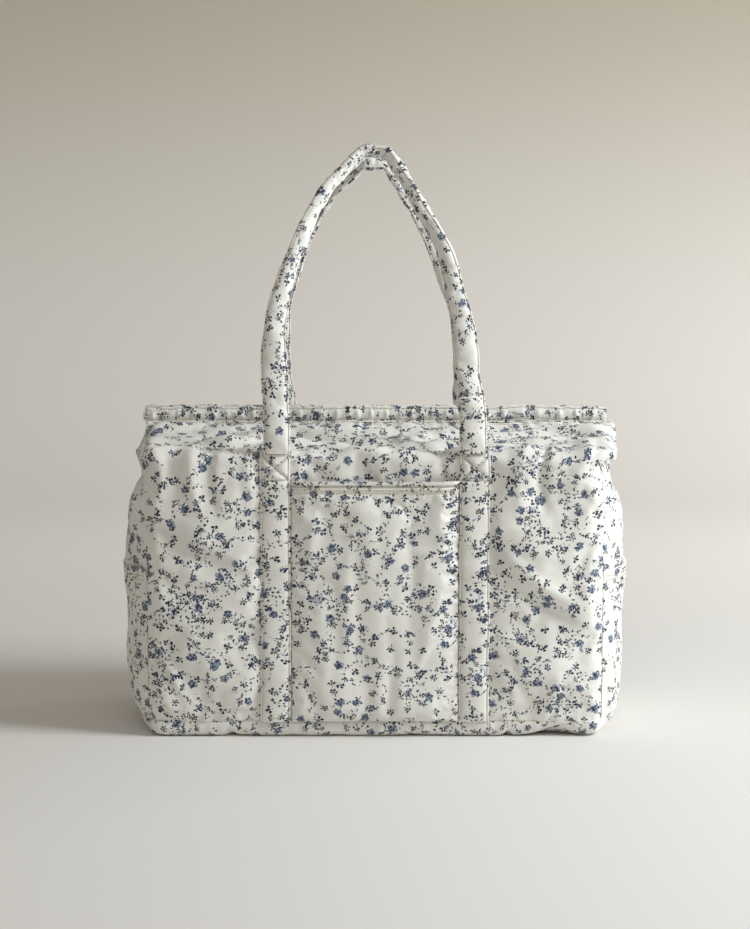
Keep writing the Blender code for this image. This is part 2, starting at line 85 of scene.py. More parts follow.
# Wall and roof: a straight wall, a soft roll-over and the sloping roof
CORNER_Z = EDGE_Z + 1.7 * MM
ROLL_RADIUS = 10 * MM
RIDGE_Y = 0.5 * MM - BAND_LOW.y
ROOF_SLOPE = math.atan2(TAPE_TOP + 1 * MM - CORNER_Z, WALL_Y - RIDGE_Y)
ROLL_TURN = math.pi / 2 - ROOF_SLOPE
ROLL_TANGENT = ROLL_RADIUS * math.tan(ROLL_TURN / 2)
WALL_LENGTH = CORNER_Z - ROLL_TANGENT - BASE_Z
ROLL_LENGTH = ROLL_RADIUS * ROLL_TURN
ROOF_LENGTH = (WALL_Y - RIDGE_Y) / math.cos(ROOF_SLOPE) - ROLL_TANGENT
CLOTH_LENGTH = WALL_LENGTH + ROLL_LENGTH + ROOF_LENGTH


# Numbers over arrays


def smooth(value, low, high):
    """0 below low, 1 above high, and an even curve in between."""
    t = np.clip((value - low) / (high - low), 0, 1)
    return t * t * (3 - 2 * t)


def bump(value, centre, width):
    return np.exp(-(((value - centre) / width) ** 2))


def waves(x, y, wavelength, seed, fan=math.pi, turned=0.0):
    """Smooth random height of about unit size, from plane waves in directions within the fan."""
    rng, count = np.random.default_rng(seed), 14
    total = np.zeros(np.broadcast(x, y).shape)
    for _ in range(count):
        angle = turned + rng.uniform(-fan, fan) / 2
        length = wavelength * rng.uniform(0.7, 1.6)
        phase = rng.uniform(0, 2 * math.pi)
        total += np.sin(2 * math.pi * (x * math.cos(angle) + y * math.sin(angle)) / length + phase)
    return total / math.sqrt(count / 2)


def fold(x, y, start, end, width, height):
    """A ridge from start to end, or a crease if height is negative, steeper on one side."""
    (x0, y0), (x1, y1) = start, end
    length = math.hypot(x1 - x0, y1 - y0)
    along = ((x - x0) * (x1 - x0) + (y - y0) * (y1 - y0)) / length**2
    across = ((x - x0) * (y1 - y0) - (y - y0) * (x1 - x0)) / length
    bend = 0.12 * length * np.sin(math.pi * np.clip(along, 0, 1)) * (1 if x1 > x0 else -1)
    across = across - bend * 0.4
    ends = smooth(along, -0.15, 0.30) * (1 - smooth(along, 0.65, 1.15))
    return height * ends * bump(across, 0, np.where(across > 0, width, 0.42 * width))


def finer(grid, factor=2):
    """The same surface through the same points, with factor times the cells each way."""
    for axis in (0, 1):
        rows = np.moveaxis(grid, axis, 0)
        padded = np.concatenate([2 * rows[:1] - rows[1:2], rows, 2 * rows[-1:] - rows[-2:-1]])
        a, b, c, d = padded[:-3], padded[1:-2], padded[2:-1], padded[3:]
        steps = []
        for step in range(factor):
            t = step / factor
            steps.append(
                b
                + 0.5 * (c - a) * t
                + 0.5 * (2 * a - 5 * b + 4 * c - d) * t**2
                + 0.5 * (3 * b - a - 3 * c + d) * t**3
            )
        woven = np.stack(steps, 1).reshape(-1, *rows.shape[1:])
        grid = np.moveaxis(np.concatenate([woven, rows[-1:]]), 0, axis)
    return grid


def spread(across, up, shape):
    """Two grids of shape (rows, columns): even steps over across, and even steps over up."""
    return np.meshgrid(np.linspace(*across, shape[1]), np.linspace(*up, shape[0]))


def flat_grid(u, v):
    return np.stack(np.meshgrid(u, v), axis=-1)


def unit(vectors):
    return vectors / np.linalg.norm(vectors, axis=1, keepdims=True)


def travel(points):
    """How far along its line each point is."""
    return np.concatenate([[0], np.cumsum(np.linalg.norm(np.diff(points, axis=0), axis=1))])


def at_travel(at, travelled, values):
    """Rows of three values, read off at distances along the line."""
    return np.column_stack([np.interp(at, travelled, values[:, k]) for k in range(3)])


def normals(points):
    across = np.gradient(points, axis=1)
    up = np.gradient(points, axis=0)
    facing = np.cross(across, up)
    return facing / np.maximum(np.linalg.norm(facing, axis=2, keepdims=True), 1e-12)


def fade(distance, length):
    return np.exp(-distance / length)


def raised(points, height):
    """The grid moved along its own normals."""
    return points + normals(points) * height[..., None]


def on_grid(grid, row, column):
    """Values of the grid at fractional rows and columns."""
    rows, columns = grid.shape[:2]
    row = np.clip(row, 0, rows - 1.001)
    column = np.clip(column, 0, columns - 1.001)
    r, c = row.astype(int), column.astype(int)
    fr, fc = (row - r)[..., None], (column - c)[..., None]
    low = grid[r, c] * (1 - fc) + grid[r, c + 1] * fc
    high = grid[r + 1, c] * (1 - fc) + grid[r + 1, c + 1] * fc
    return low * (1 - fr) + high * fr


def same(points):
    return points


def half_turned(points):
    """Points turned half round the bag's vertical axis, so that front becomes back."""
    return points * np.array([-1.0, -1.0, 1.0])


def line_on(grid, facing, row, column, turn=same):
    """A line over a grid with the normals facing: its points, and the normals there."""
    return turn(on_grid(grid, row, column)), turn(on_grid(facing, row, column))


# Meshes


def quads_of(index):
    corners = (index[:-1, :-1], index[:-1, 1:], index[1:, 1:], index[1:, :-1])
    return np.stack(corners, axis=-1).reshape(-1, 4)


def placed(name, data):
    obj = bpy.data.objects.new(name, data)
    bpy.context.scene.collection.objects.link(obj)
    return obj


def mesh_object(name, points, quads, cloth, loops, materials, slots=None):
    """Object with quads over points. cloth holds fabric places, and loops picks one a corner."""
    mesh = bpy.data.meshes.new(name)
    mesh.vertices.add(len(points))
    mesh.vertices.foreach_set("co", np.asarray(points, np.float32).ravel())
    mesh.loops.add(quads.size)
    mesh.loops.foreach_set("vertex_index", quads.ravel().astype(np.int32))
    mesh.polygons.add(len(quads))
    mesh.polygons.foreach_set("loop_start", np.arange(0, quads.size, 4, dtype=np.int32))
    if slots is not None:
        mesh.polygons.foreach_set("material_index", slots.astype(np.int32))
    layer = mesh.uv_layers.new(name="cloth")
    layer.data.foreach_set("uv", cloth[loops.ravel()].astype(np.float32).ravel())
    mesh.update(calc_edges=True)
    mesh.validate()
    for material in materials:
        mesh.materials.append(material)
    mesh.shade_smooth()
    return placed(name, mesh)


def grid_object(name, points, cloth, materials):
    index = np.arange(points.shape[0] * points.shape[1]).reshape(points.shape[:2])
    quads = quads_of(index)
    flat = cloth.reshape(-1, 2)
    return mesh_object(name, points.reshape(-1, 3), quads, flat, quads, materials)


def rim_of(index):
    """The indices round the edge of a grid, in order."""
    right, left = index[1:-1, -1], index[-2:0:-1, 0]
    return np.concatenate([index[0], right, index[-1, ::-1], left, index[:1, 0]])


def sheet_object(name, points, cloth, thickness, materials):
    """Closed piece of cloth: the grid outside, the same grid inside, and the edge between.

    The second material, if there is one, is for the inside.
    """
    inner = raised(points, np.broadcast_to(-np.asarray(thickness, float), points.shape[:2]))
    count = points.shape[0] * points.shape[1]
    index = np.arange(count).reshape(points.shape[:2])
    outside = quads_of(index)
    inside = quads_of(index)[:, ::-1] + count
    rim = rim_of(index)
    edge = np.stack([rim[:-1], rim[:-1] + count, rim[1:] + count, rim[1:]], axis=-1)
    quads = np.concatenate([outside, inside, edge])
    slots = np.zeros(len(quads))
    slots[len(outside) : len(outside) + len(inside)] = len(materials) - 1
    both = np.concatenate([points.reshape(-1, 3), inner.reshape(-1, 3)])
    nudged = cloth.reshape(-1, 2) + 2.5 * MM
    places = np.concatenate([cloth.reshape(-1, 2), nudged])
    obj = mesh_object(name, both, quads, places, quads, materials, slots)
    obj.data.set_sharp_from_angle(angle=math.radians(60))
    return obj


def close_holes(obj, merged=0.0, below=math.inf):
    """Merges points closer than merged, and fills the holes whose edges are below a height."""
    bm = bmesh.new()
    bm.from_mesh(obj.data)
    if merged:
        bmesh.ops.remove_doubles(bm, verts=bm.verts, dist=merged)
    rim = [edge for edge in bm.edges if edge.is_boundary and edge.verts[0].co.z < below]
    bmesh.ops.holes_fill(bm, edges=rim, sides=0)
    bmesh.ops.recalc_face_normals(bm, faces=bm.faces)
    bm.to_mesh(obj.data)
    bm.free()


def sleeve_object(name, rings, cloth, materials):
    """Closed piece through rings of points. cloth has one column more than the rings."""
    rows, columns = rings.shape[:2]
    index = np.arange(rows * columns).reshape(rows, columns)
    index = np.concatenate([index, index[:, :1]], axis=1)
    loops = np.arange(rows * (columns + 1)).reshape(rows, columns + 1)
    points, flat = rings.reshape(-1, 3), cloth.reshape(-1, 2)
    obj = mesh_object(name, points, quads_of(index), flat, quads_of(loops), materials)
    close_holes(obj)
    obj.data.set_sharp_from_angle(angle=math.radians(70))
    return obj


def cross_joint(obj, slot, body, turn, start, end):
    """Bakes the piece's transform into its mesh."""
    start, end = turn(np.array([start, end]))
    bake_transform(obj)


def dress(obj, body, replaces=()):
    """What every finished piece gets: its body and the nodes it stands for."""
    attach(obj, body)
    if replaces:
        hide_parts(*replaces)
    return obj


def settled(points, pinned, slack, push, reach):
    """The grid after its cloth has gone slack between the pinned points.

    slack is the share by which the cloth is longer than the shape it starts from. push is the
    steady pull on it, in m/s2, and no point moves further than reach.
    """
    scene, frames = bpy.context.scene, 22
    flat = np.zeros(points.shape[:2] + (2,))
    obj = grid_object("settling", points, flat, [])
    group = obj.vertex_groups.new(name="pinned")
    group.add([int(i) for i in np.flatnonzero(pinned.ravel())], 1.0, "REPLACE")
    cloth = obj.modifiers.new("cloth", "CLOTH")
    settings = cloth.settings
    settings.quality = 6
    settings.mass = 0.004
    settings.tension_stiffness = settings.compression_stiffness = 12
    settings.shear_stiffness = 6
    settings.bending_stiffness = 4
    settings.air_damping = 2
    settings.vertex_group_mass = "pinned"
    settings.shrink_min = settings.shrink_max = -slack
    cloth.collision_settings.use_collision = False
    cloth.point_cache.frame_start, cloth.point_cache.frame_end = 1, frames
    scene.gravity = push
    for number in range(1, frames + 1):
        scene.frame_set(number)
    evaluated = obj.evaluated_get(bpy.context.evaluated_depsgraph_get())
    moved = np.empty(points.size, np.float32)
    evaluated.data.vertices.foreach_get("co", moved)
    scene.frame_set(1)
    bpy.data.objects.remove(obj, do_unlink=True)
    shift = moved.reshape(points.shape).astype(float) - points
    length = np.linalg.norm(shift, axis=2, keepdims=True)
    return points + shift * reach * np.tanh(length / reach) / np.maximum(length, 1e-9)


# Materials


class Graph:
    """Short names for building one material's nodes."""

    def __init__(self, name):
        self.material = bpy.data.materials.new(name)
        self.material.use_nodes = True
        self.nodes = self.material.node_tree.nodes
        self.links = self.material.node_tree.links
        self.shader = self.nodes["Principled BSDF"]

    def node(self, kind, settings=None, **inputs):
        node = self.nodes.new("ShaderNode" + kind)
        for key, value in (settings or {}).items():
            setattr(node, key, value)
        for key, value in inputs.items():
            self.give(node, key.replace("_", " "), value)
        return node

    def give(self, node, key, value):
        socket = node.inputs[int(key[2:]) if key.startswith("in") and key[2:].isdigit() else key]
        if isinstance(value, bpy.types.NodeSocket):
            self.links.new(value, socket)
        else:
            socket.default_value = value

    def finish(self, colour, roughness, relief=None, **constants):
        """Gives the shader its colour, roughness, relief and constants."""
        inputs = self.shader.inputs
        self.links.new(colour, inputs["Base Color"])
        self.links.new(roughness, inputs["Roughness"])
        if relief:
            self.links.new(relief.outputs[0], inputs["Normal"])
        for key, value in constants.items():
            inputs[key.replace("_", " ")].default_value = value
        return self.material

    def math(self, operation, *values):
        node = self.nodes.new("ShaderNodeMath")
        node.operation = operation
        for i, value in enumerate(values):
            self.give(node, f"in{i}", value)
        return node.outputs[0]

    def times(self, *values):
        """The product of the values."""
        total = values[0]
        for value in values[1:]:
            total = self.math("MULTIPLY", total, value)
        return total

    def less(self, value, limit):
        return self.math("LESS_THAN", value, limit)

    def more(self, value, limit):
        return self.math("GREATER_THAN", value, limit)

    def size(self, value):
        return self.math("ABSOLUTE", value)

    def minus(self, value, taken):
        return self.math("SUBTRACT", value, taken)

    def split(self, place):
        return self.node("SeparateXYZ", Vector=place).outputs

    def vector(self, operation, *values, out=0):
        node = self.nodes.new("ShaderNodeVectorMath")
        node.operation = operation
        for i, value in enumerate(values):
            if operation == "SCALE" and i == 1:
                self.give(node, "Scale", value)
            else:
                self.give(node, f"in{i}", value)
        return node.outputs[out]

    def mix(self, share, under, over):
        """Colour: under where share is 0, over where it is 1."""
        node = self.nodes.new("ShaderNodeMix")
        node.data_type = "RGBA"
        self.give(node, "in0", share)
        self.give(node, "in6", under)
        self.give(node, "in7", over)
        return node.outputs[2]

    def noise(self, place, scale, detail=2.0, out=0):
        return self.node("TexNoise", Vector=place, Scale=scale, Detail=detail).outputs[out]

    def ramp(self, value, low, high, to_low=0.0, to_high=1.0):
        node = self.node("MapRange")
        node.interpolation_type = "SMOOTHSTEP"
        for i, given in enumerate((value, low, high, to_low, to_high)):
            self.give(node, f"in{i}", given)
        return node.outputs[0]


IVORY = (0.765, 0.752, 0.702, 1.0)
NAVY = (0.007, 0.011, 0.026, 1.0)
DENIM = (0.028, 0.046, 0.102, 1.0)
PALE_BLUE = (0.15, 0.20, 0.32, 1.0)
TAN = (0.56, 0.48, 0.35, 1.0)


def cloth_place(g):
    """Place on the flat cloth, in millimetres."""
    place = g.node("UVMap", {"uv_map": "cloth"}).outputs[0]
    return g.vector("SCALE", place, 1000.0)


def motif_cells(g, place, size, offset):
    """Scattered motif centres about size apart: local place in mm, and three random numbers."""
    scaled = g.vector("ADD", g.vector("SCALE", place, 1 / size), (offset, offset * 0.37, 0.0))
    cells = g.node("TexVoronoi", {"voronoi_dimensions": "2D"}, Vector=scaled, Scale=1.0)
    cells.inputs["Randomness"].default_value = 0.92
    away = g.vector("SUBTRACT", scaled, cells.outputs["Position"])
    chance = g.split(cells.outputs["Color"])
    angle = g.times(chance[0], 6.283)
    turned = g.node(
        "VectorRotate",
        {"rotation_type": "Z_AXIS"},
        Vector=g.vector("SCALE", away, size),
        Angle=angle,
    )
    return turned.outputs[0], chance


def polar(g, local):
    split = g.split(local)
    return g.math("ARCTAN2", split[1], split[0]), g.vector("LENGTH", local, out=1)


def petal_ring(g, angle, away, count, middle, reach, width):
    """1 on a ring of count oval petals, centred at middle from the motif's centre."""
    lobe = g.size(g.math("COSINE", g.times(angle, g.times(count, 0.5))))
    from_middle = g.math("DIVIDE", g.minus(away, middle), reach)
    waist = g.times(g.math("POWER", g.size(from_middle), 2.0), 0.8)
    return g.more(g.minus(lobe, waist), width)


def leaf(g, local, length, width):
    stretched = g.vector("MULTIPLY", local, (1 / length, 1 / width, 0.0))
    return g.less(g.vector("LENGTH", stretched, out=1), 1.0)


def sprig(g, local, chance, size):
    """A small open flower of four to six short petals, with a thin stem behind it."""
    angle, away = polar(g, local)
    count = g.math("ADD", g.math("FLOOR", g.times(chance[1], 2.99)), 4.0)
    ring = petal_ring(g, angle, away, count, 0.58 * size, 0.46 * size, 0.42)
    fan = g.more(g.math("COSINE", angle), -0.6)
    heart = g.less(away, 0.24 * size)
    split = g.split(local)
    thin = g.less(g.size(split[1]), 0.3)
    behind = g.less(split[0], 0.0)
    stem = g.times(thin, behind, g.less(away, 0.9 * size))
    return g.math("MAXIMUM", g.math("MAXIMUM", g.times(ring, fan), heart), stem)


def rose(g, local, size):
    """A round bloom: its pale wash, and the dark broken strokes on it."""
    angle, away = polar(g, local)
    blot = g.noise(local, 0.5, 2.0)
    lobes = g.math("COSINE", g.times(angle, 5.0))
    edge = g.math("MULTIPLY_ADD", lobes, 0.12 * size, 0.52 * size)
    edge = g.math("MULTIPLY_ADD", blot, 0.86 * size, edge)
    wash = g.less(away, edge)
    uneven = g.times(blot, 4.2)
    spiral = g.math("MULTIPLY_ADD", away, 0.50, g.math("MULTIPLY_ADD", angle, 1 / math.pi, uneven))
    strokes = g.more(g.math("PINGPONG", spiral, 1.0), 0.42)
    return wash, g.times(wash, strokes)


def printed_colour(g, place):
    """The floral print: small roses and sprigs, with trails of leaves that wander among them."""
    drift = g.noise(place, 0.07, 1.0, out=1)
    wobble = g.noise(place, 0.75, 0.0, out=1)
    middle = (0.5, 0.5, 0.5)
    place = g.vector("ADD", place, g.vector("SCALE", g.vector("SUBTRACT", drift, middle), 5.0))
    place = g.vector("ADD", place, g.vector("SCALE", g.vector("SUBTRACT", wobble, middle), 2.4))
    trail = g.size(g.minus(g.noise(place, 1 / 34, 1.0), 0.5))
    patchy = g.noise(place, 0.13, 0.0)
    ink = g.mix(g.ramp(g.noise(place, 0.35, 2.0), 0.35, 0.65), NAVY, DENIM)

    stem = g.times(g.less(trail, 0.006), g.more(patchy, 0.5))
    colour = g.mix(g.times(stem, 0.5), IVORY, PALE_BLUE)

    local, chance = motif_cells(g, place, 4.2, 3.1)
    near = g.less(g.math("ADD", trail, g.times(chance[1], 0.06)), 0.072)
    colour = g.mix(g.times(leaf(g, local, 1.4, 0.8), near), colour, ink)

    local, chance = motif_cells(g, place, 12.2, 7.7)
    near = g.less(g.math("ADD", trail, g.times(chance[2], 0.14)), 0.125)
    colour = g.mix(g.times(sprig(g, local, chance, 3.2), near), colour, ink)

    local, chance = motif_cells(g, place, 16.8, 11.3)
    is_rose = g.less(chance[2], 0.24)
    there = g.minus(1.0, is_rose)
    colour = g.mix(g.times(sprig(g, local, chance, 4.2), there), colour, ink)
    wash, strokes = rose(g, local, 4.4)
    paler = g.mix(g.ramp(g.noise(place, 0.5), 0.45, 0.6), PALE_BLUE, (0.36, 0.42, 0.52, 1.0))
    colour = g.mix(g.times(wash, is_rose, 0.85), colour, paler)
    return g.mix(g.times(strokes, is_rose), colour, ink)


def woven_height(g, place, pitch):
    """Plain weave: warp and weft threads that go over and under each other."""
    split = g.split(place)
    warp = g.math("SINE", g.times(split[0], 2 * math.pi / pitch))
    weft = g.math("SINE", g.times(split[1], 2 * math.pi / pitch))
    return g.times(warp, weft)


def cotton(name, colour_of):
    g = Graph(name)
    place = cloth_place(g)
    colour = colour_of(g, place)
    shade = g.ramp(g.noise(place, 0.02, 3.0), 0.3, 0.7, 0.94, 1.03)
    toned = g.vector("SCALE", colour, shade)
    roughness = g.ramp(g.noise(place, 0.9, 2.0), 0.3, 0.7, 0.58, 0.74)
    soft = g.node("Bump", Height=g.noise(place, 0.055, 3.0), Distance=1.1 * MM, Strength=0.5)
    threads = g.node("Bump", Height=woven_height(g, place, 0.9), Distance=0.035 * MM, Strength=0.6)
    g.links.new(soft.outputs[0], threads.inputs["Normal"])
    constants = {"Sheen_Weight": 0.12, "Sheen_Roughness": 0.45, "Specular_IOR_Level": 0.42}
    return g.finish(toned, roughness, threads, **constants)


def thread_material():
    g = Graph("thread")
    place = g.node("TexCoord").outputs["Object"]
    colour = g.mix(g.noise(place, 900.0, 2.0), (0.42, 0.33, 0.20, 1.0), TAN)
    roughness = g.ramp(g.noise(place, 1500.0), 0.3, 0.7, 0.55, 0.8)
    strand = g.node("Bump", Height=g.noise(place, 2600.0), Distance=0.06 * MM, Strength=0.5)
    return g.finish(colour, roughness, strand)


def metal_material():
    g = Graph("zip_metal_look")
    place = g.node("TexCoord").outputs["Object"]
    worn = g.noise(place, 700.0, 4.0)
    colour = g.mix(worn, (0.62, 0.50, 0.28, 1.0), (0.78, 0.68, 0.45, 1.0))
    roughness = g.ramp(worn, 0.35, 0.7, 0.24, 0.42)
    scratches = g.node("Bump", Height=g.noise(place, 2500.0), Distance=0.02 * MM, Strength=0.3)
    return g.finish(colour, roughness, scratches, Metallic=1.0)


def nylon_material(name, low, high, scale):
    g = Graph(name)
    place = g.node("TexCoord").outputs["Object"]
    mottle = g.noise(place, scale, 2.0)
    ribs = g.node("TexWave", {"bands_direction": "X"}, Vector=place, Scale=250.0, Distortion=0.4)
    relief = g.node("Bump", Height=ribs.outputs[1], Distance=0.08 * MM, Strength=0.5)
    return g.finish(g.mix(mottle, low, high), g.ramp(mottle, 0.3, 0.7, 0.38, 0.62), relief)


def plain_colour(g, place):
    return g.mix(g.noise(place, 0.03), IVORY, (0.72, 0.70, 0.64, 1.0))


PRINT = cotton("printed_cotton_look", printed_colour)
PLAIN = cotton("plain_cotton_look", plain_colour)
THREAD = thread_material()
METAL = metal_material()
TAPE = nylon_material("zip_tape_look", (0.66, 0.62, 0.52, 1.0), (0.78, 0.75, 0.66, 1.0), 1500.0)
NYLON = nylon_material("zip_coil_look", (0.60, 0.55, 0.44, 1.0), (0.74, 0.70, 0.60, 1.0), 900.0)


# Stitches

STITCH_RADIUS = 0.42 * MM


def stitch_template():
    """One stitch as rings of four points: along in stitch lengths, side and up in radii."""
    stations = ((-0.40, 0.25), (-0.30, 0.85), (0.0, 1.0), (0.30, 0.85), (0.40, 0.25))
    rings = []
    for along, size in stations:
        for side, up in ((-1, 0), (0, 1), (1, 0), (0, -1)):
            sink = -0.8 * (abs(along) / 0.4) ** 3
            rings.append((along, side * size, up * size + sink))
    faces = []
    for ring in range(len(stations) - 1):
        for i in range(4):
            j = (i + 1) % 4
            faces.append((4 * ring + i, 4 * ring + j, 4 * ring + 4 + j, 4 * ring + 4 + i))
    faces.append((3, 2, 1, 0))
    last = 4 * (len(stations) - 1)
    faces.append((last, last + 1, last + 2, last + 3))
    return np.array(rings), np.array(faces)


def stitches_object(name, lines, length=2.6 * MM):
    """Rows of single stitches along lines of (points, normals) that lie on the cloth."""
    rings, faces = stitch_template()
    all_points, all_quads = [], []
    for points, facing in lines:
        travelled = travel(points)
        count = max(1, int(travelled[-1] / length))
        at = (np.arange(count) + 0.5) * travelled[-1] / count
        centre = at_travel(at, travelled, points)
        ahead, behind = (at_travel(at + end * length, travelled, points) for end in (0.4, -0.4))
        along = unit(ahead - behind)
        side = unit(np.cross(at_travel(at, travelled, facing), along))
        up = np.cross(along, side)
        made = (
            centre[:, None]
            + along[:, None] * (rings[:, 0, None] * length)
            + side[:, None] * (rings[:, 1, None] * STITCH_RADIUS)
            + up[:, None] * ((rings[:, 2, None] + 0.35) * STITCH_RADIUS)
        )
        base = sum(len(block) for block in all_points) + np.arange(count) * len(rings)
        all_points.append(made.reshape(-1, 3))
        all_quads.append((faces[None] + base[:, None, None]).reshape(-1, 4))
    points = np.concatenate(all_points)
    quads = np.concatenate(all_quads)
    cloth = points[:, [0, 2]]
    return mesh_object(name, points, quads, cloth, quads, [THREAD])


# Walls and roof

SIDE_TURN = 9 * MM  # how far the side edges turn in towards the seam
SIDE_TURN_WIDTH = 15 * MM
ROOF_HALF = 0.2405
ROOF_SHIFT = 4 * MM  # the roof sits this much to one side


def wall_path(v):
    """Place (y, z) and outward normal of the front cloth at length v up from the base seam."""
    turn = np.clip((v - WALL_LENGTH) / ROLL_RADIUS, 0, ROLL_TURN)
    up_wall = np.minimum(v, WALL_LENGTH)
    on_roof = np.maximum(v - WALL_LENGTH - ROLL_LENGTH, 0)
    y = -WALL_Y + ROLL_RADIUS * (1 - np.cos(turn)) + on_roof * math.cos(ROOF_SLOPE)
    z = BASE_Z + up_wall + ROLL_RADIUS * np.sin(turn) + on_roof * math.sin(ROOF_SLOPE)
    return y, z, -np.cos(turn), np.sin(turn)


def roof_share(v):
    """0 on the wall and 1 on the roof, easing over the fold between them."""
    return smooth(v, WALL_LENGTH - 12 * MM, WALL_LENGTH + 14 * MM)


def cloth_half_width(v):
    """The roof is a little wider than the wall, which is drawn in just under it."""
    spread = 2 * MM * smooth(v, WALL_LENGTH + 25 * MM, CLOTH_LENGTH - 10 * MM)
    rounding = 2 * MM * smooth(v, CLOTH_LENGTH - 10 * MM, CLOTH_LENGTH) ** 2
    drawn_in = 1.5 * MM * bump(v, WALL_LENGTH - 20 * MM, 12 * MM)
    return SEAM_X + 0.5 * MM - drawn_in + spread - rounding + (ROOF_HALF - SEAM_X) * roof_share(v)


def corner_pull(s, v):
    """How far the foot of the wall draws in at the bag's round bottom corners."""
    size = np.where(s > 0, 0.8 * MM, 3.2 * MM)
    return size * smooth(np.abs(s), 0.86, 1.0) * fade(v, 16 * MM)


FRONT_FOLDS = (
    ((-0.163, 0.300), (-0.158, 0.205), 9, -5.0),
    ((-0.184, 0.300), (-0.176, 0.215), 10, 4.0),
    ((-0.132, 0.262), (-0.128, 0.222), 8, -2.5),
    ((-0.222, 0.090), (-0.186, 0.020), 5, 2.2),
    ((-0.226, 0.078), (-0.196, 0.018), 5, -2.0),
    ((-0.172, 0.052), (-0.176, 0.004), 7, -3.0),
    ((-0.210, 0.190), (-0.130, 0.150), 16, -3.0),
    ((0.170, 0.304), (0.172, 0.215), 10, -7.5),
    ((0.212, 0.310), (0.200, 0.230), 11, 5.5),
    ((0.148, 0.290), (0.150, 0.210), 9, 3.0),
    ((0.124, 0.160), (0.196, 0.100), 9, -4.0),
    ((0.128, 0.180), (0.205, 0.120), 10, 3.0),
    ((0.218, 0.180), (0.196, 0.140), 8, -3.0),
    ((0.135, 0.080), (0.158, 0.020), 8, -3.0),
    ((0.185, 0.055), (0.176, 0.004), 8, 3.0),
    ((0.060, 0.286), (0.075, 0.246), 6, -3.0),
    ((-0.060, 0.262), (0.055, 0.256), 7, -2.5),
)
BACK_FOLDS = (
    ((-0.170, 0.300), (-0.150, 0.200), 10, -4.5),
    ((-0.205, 0.296), (-0.190, 0.220), 9, 4.0),
    ((0.150, 0.300), (0.165, 0.210), 10, -5.0),
    ((0.200, 0.180), (0.140, 0.120), 11, -4.0),
    ((-0.050, 0.285), (-0.030, 0.190), 12, -4.0),
    ((0.030, 0.280), (0.045, 0.200), 10, 3.5),
    ((-0.060, 0.120), (0.060, 0.070), 14, -4.0),
    ((-0.210, 0.110), (-0.140, 0.050), 9, 3.0),
    ((0.120, 0.060), (0.190, 0.015), 8, -3.0),
)


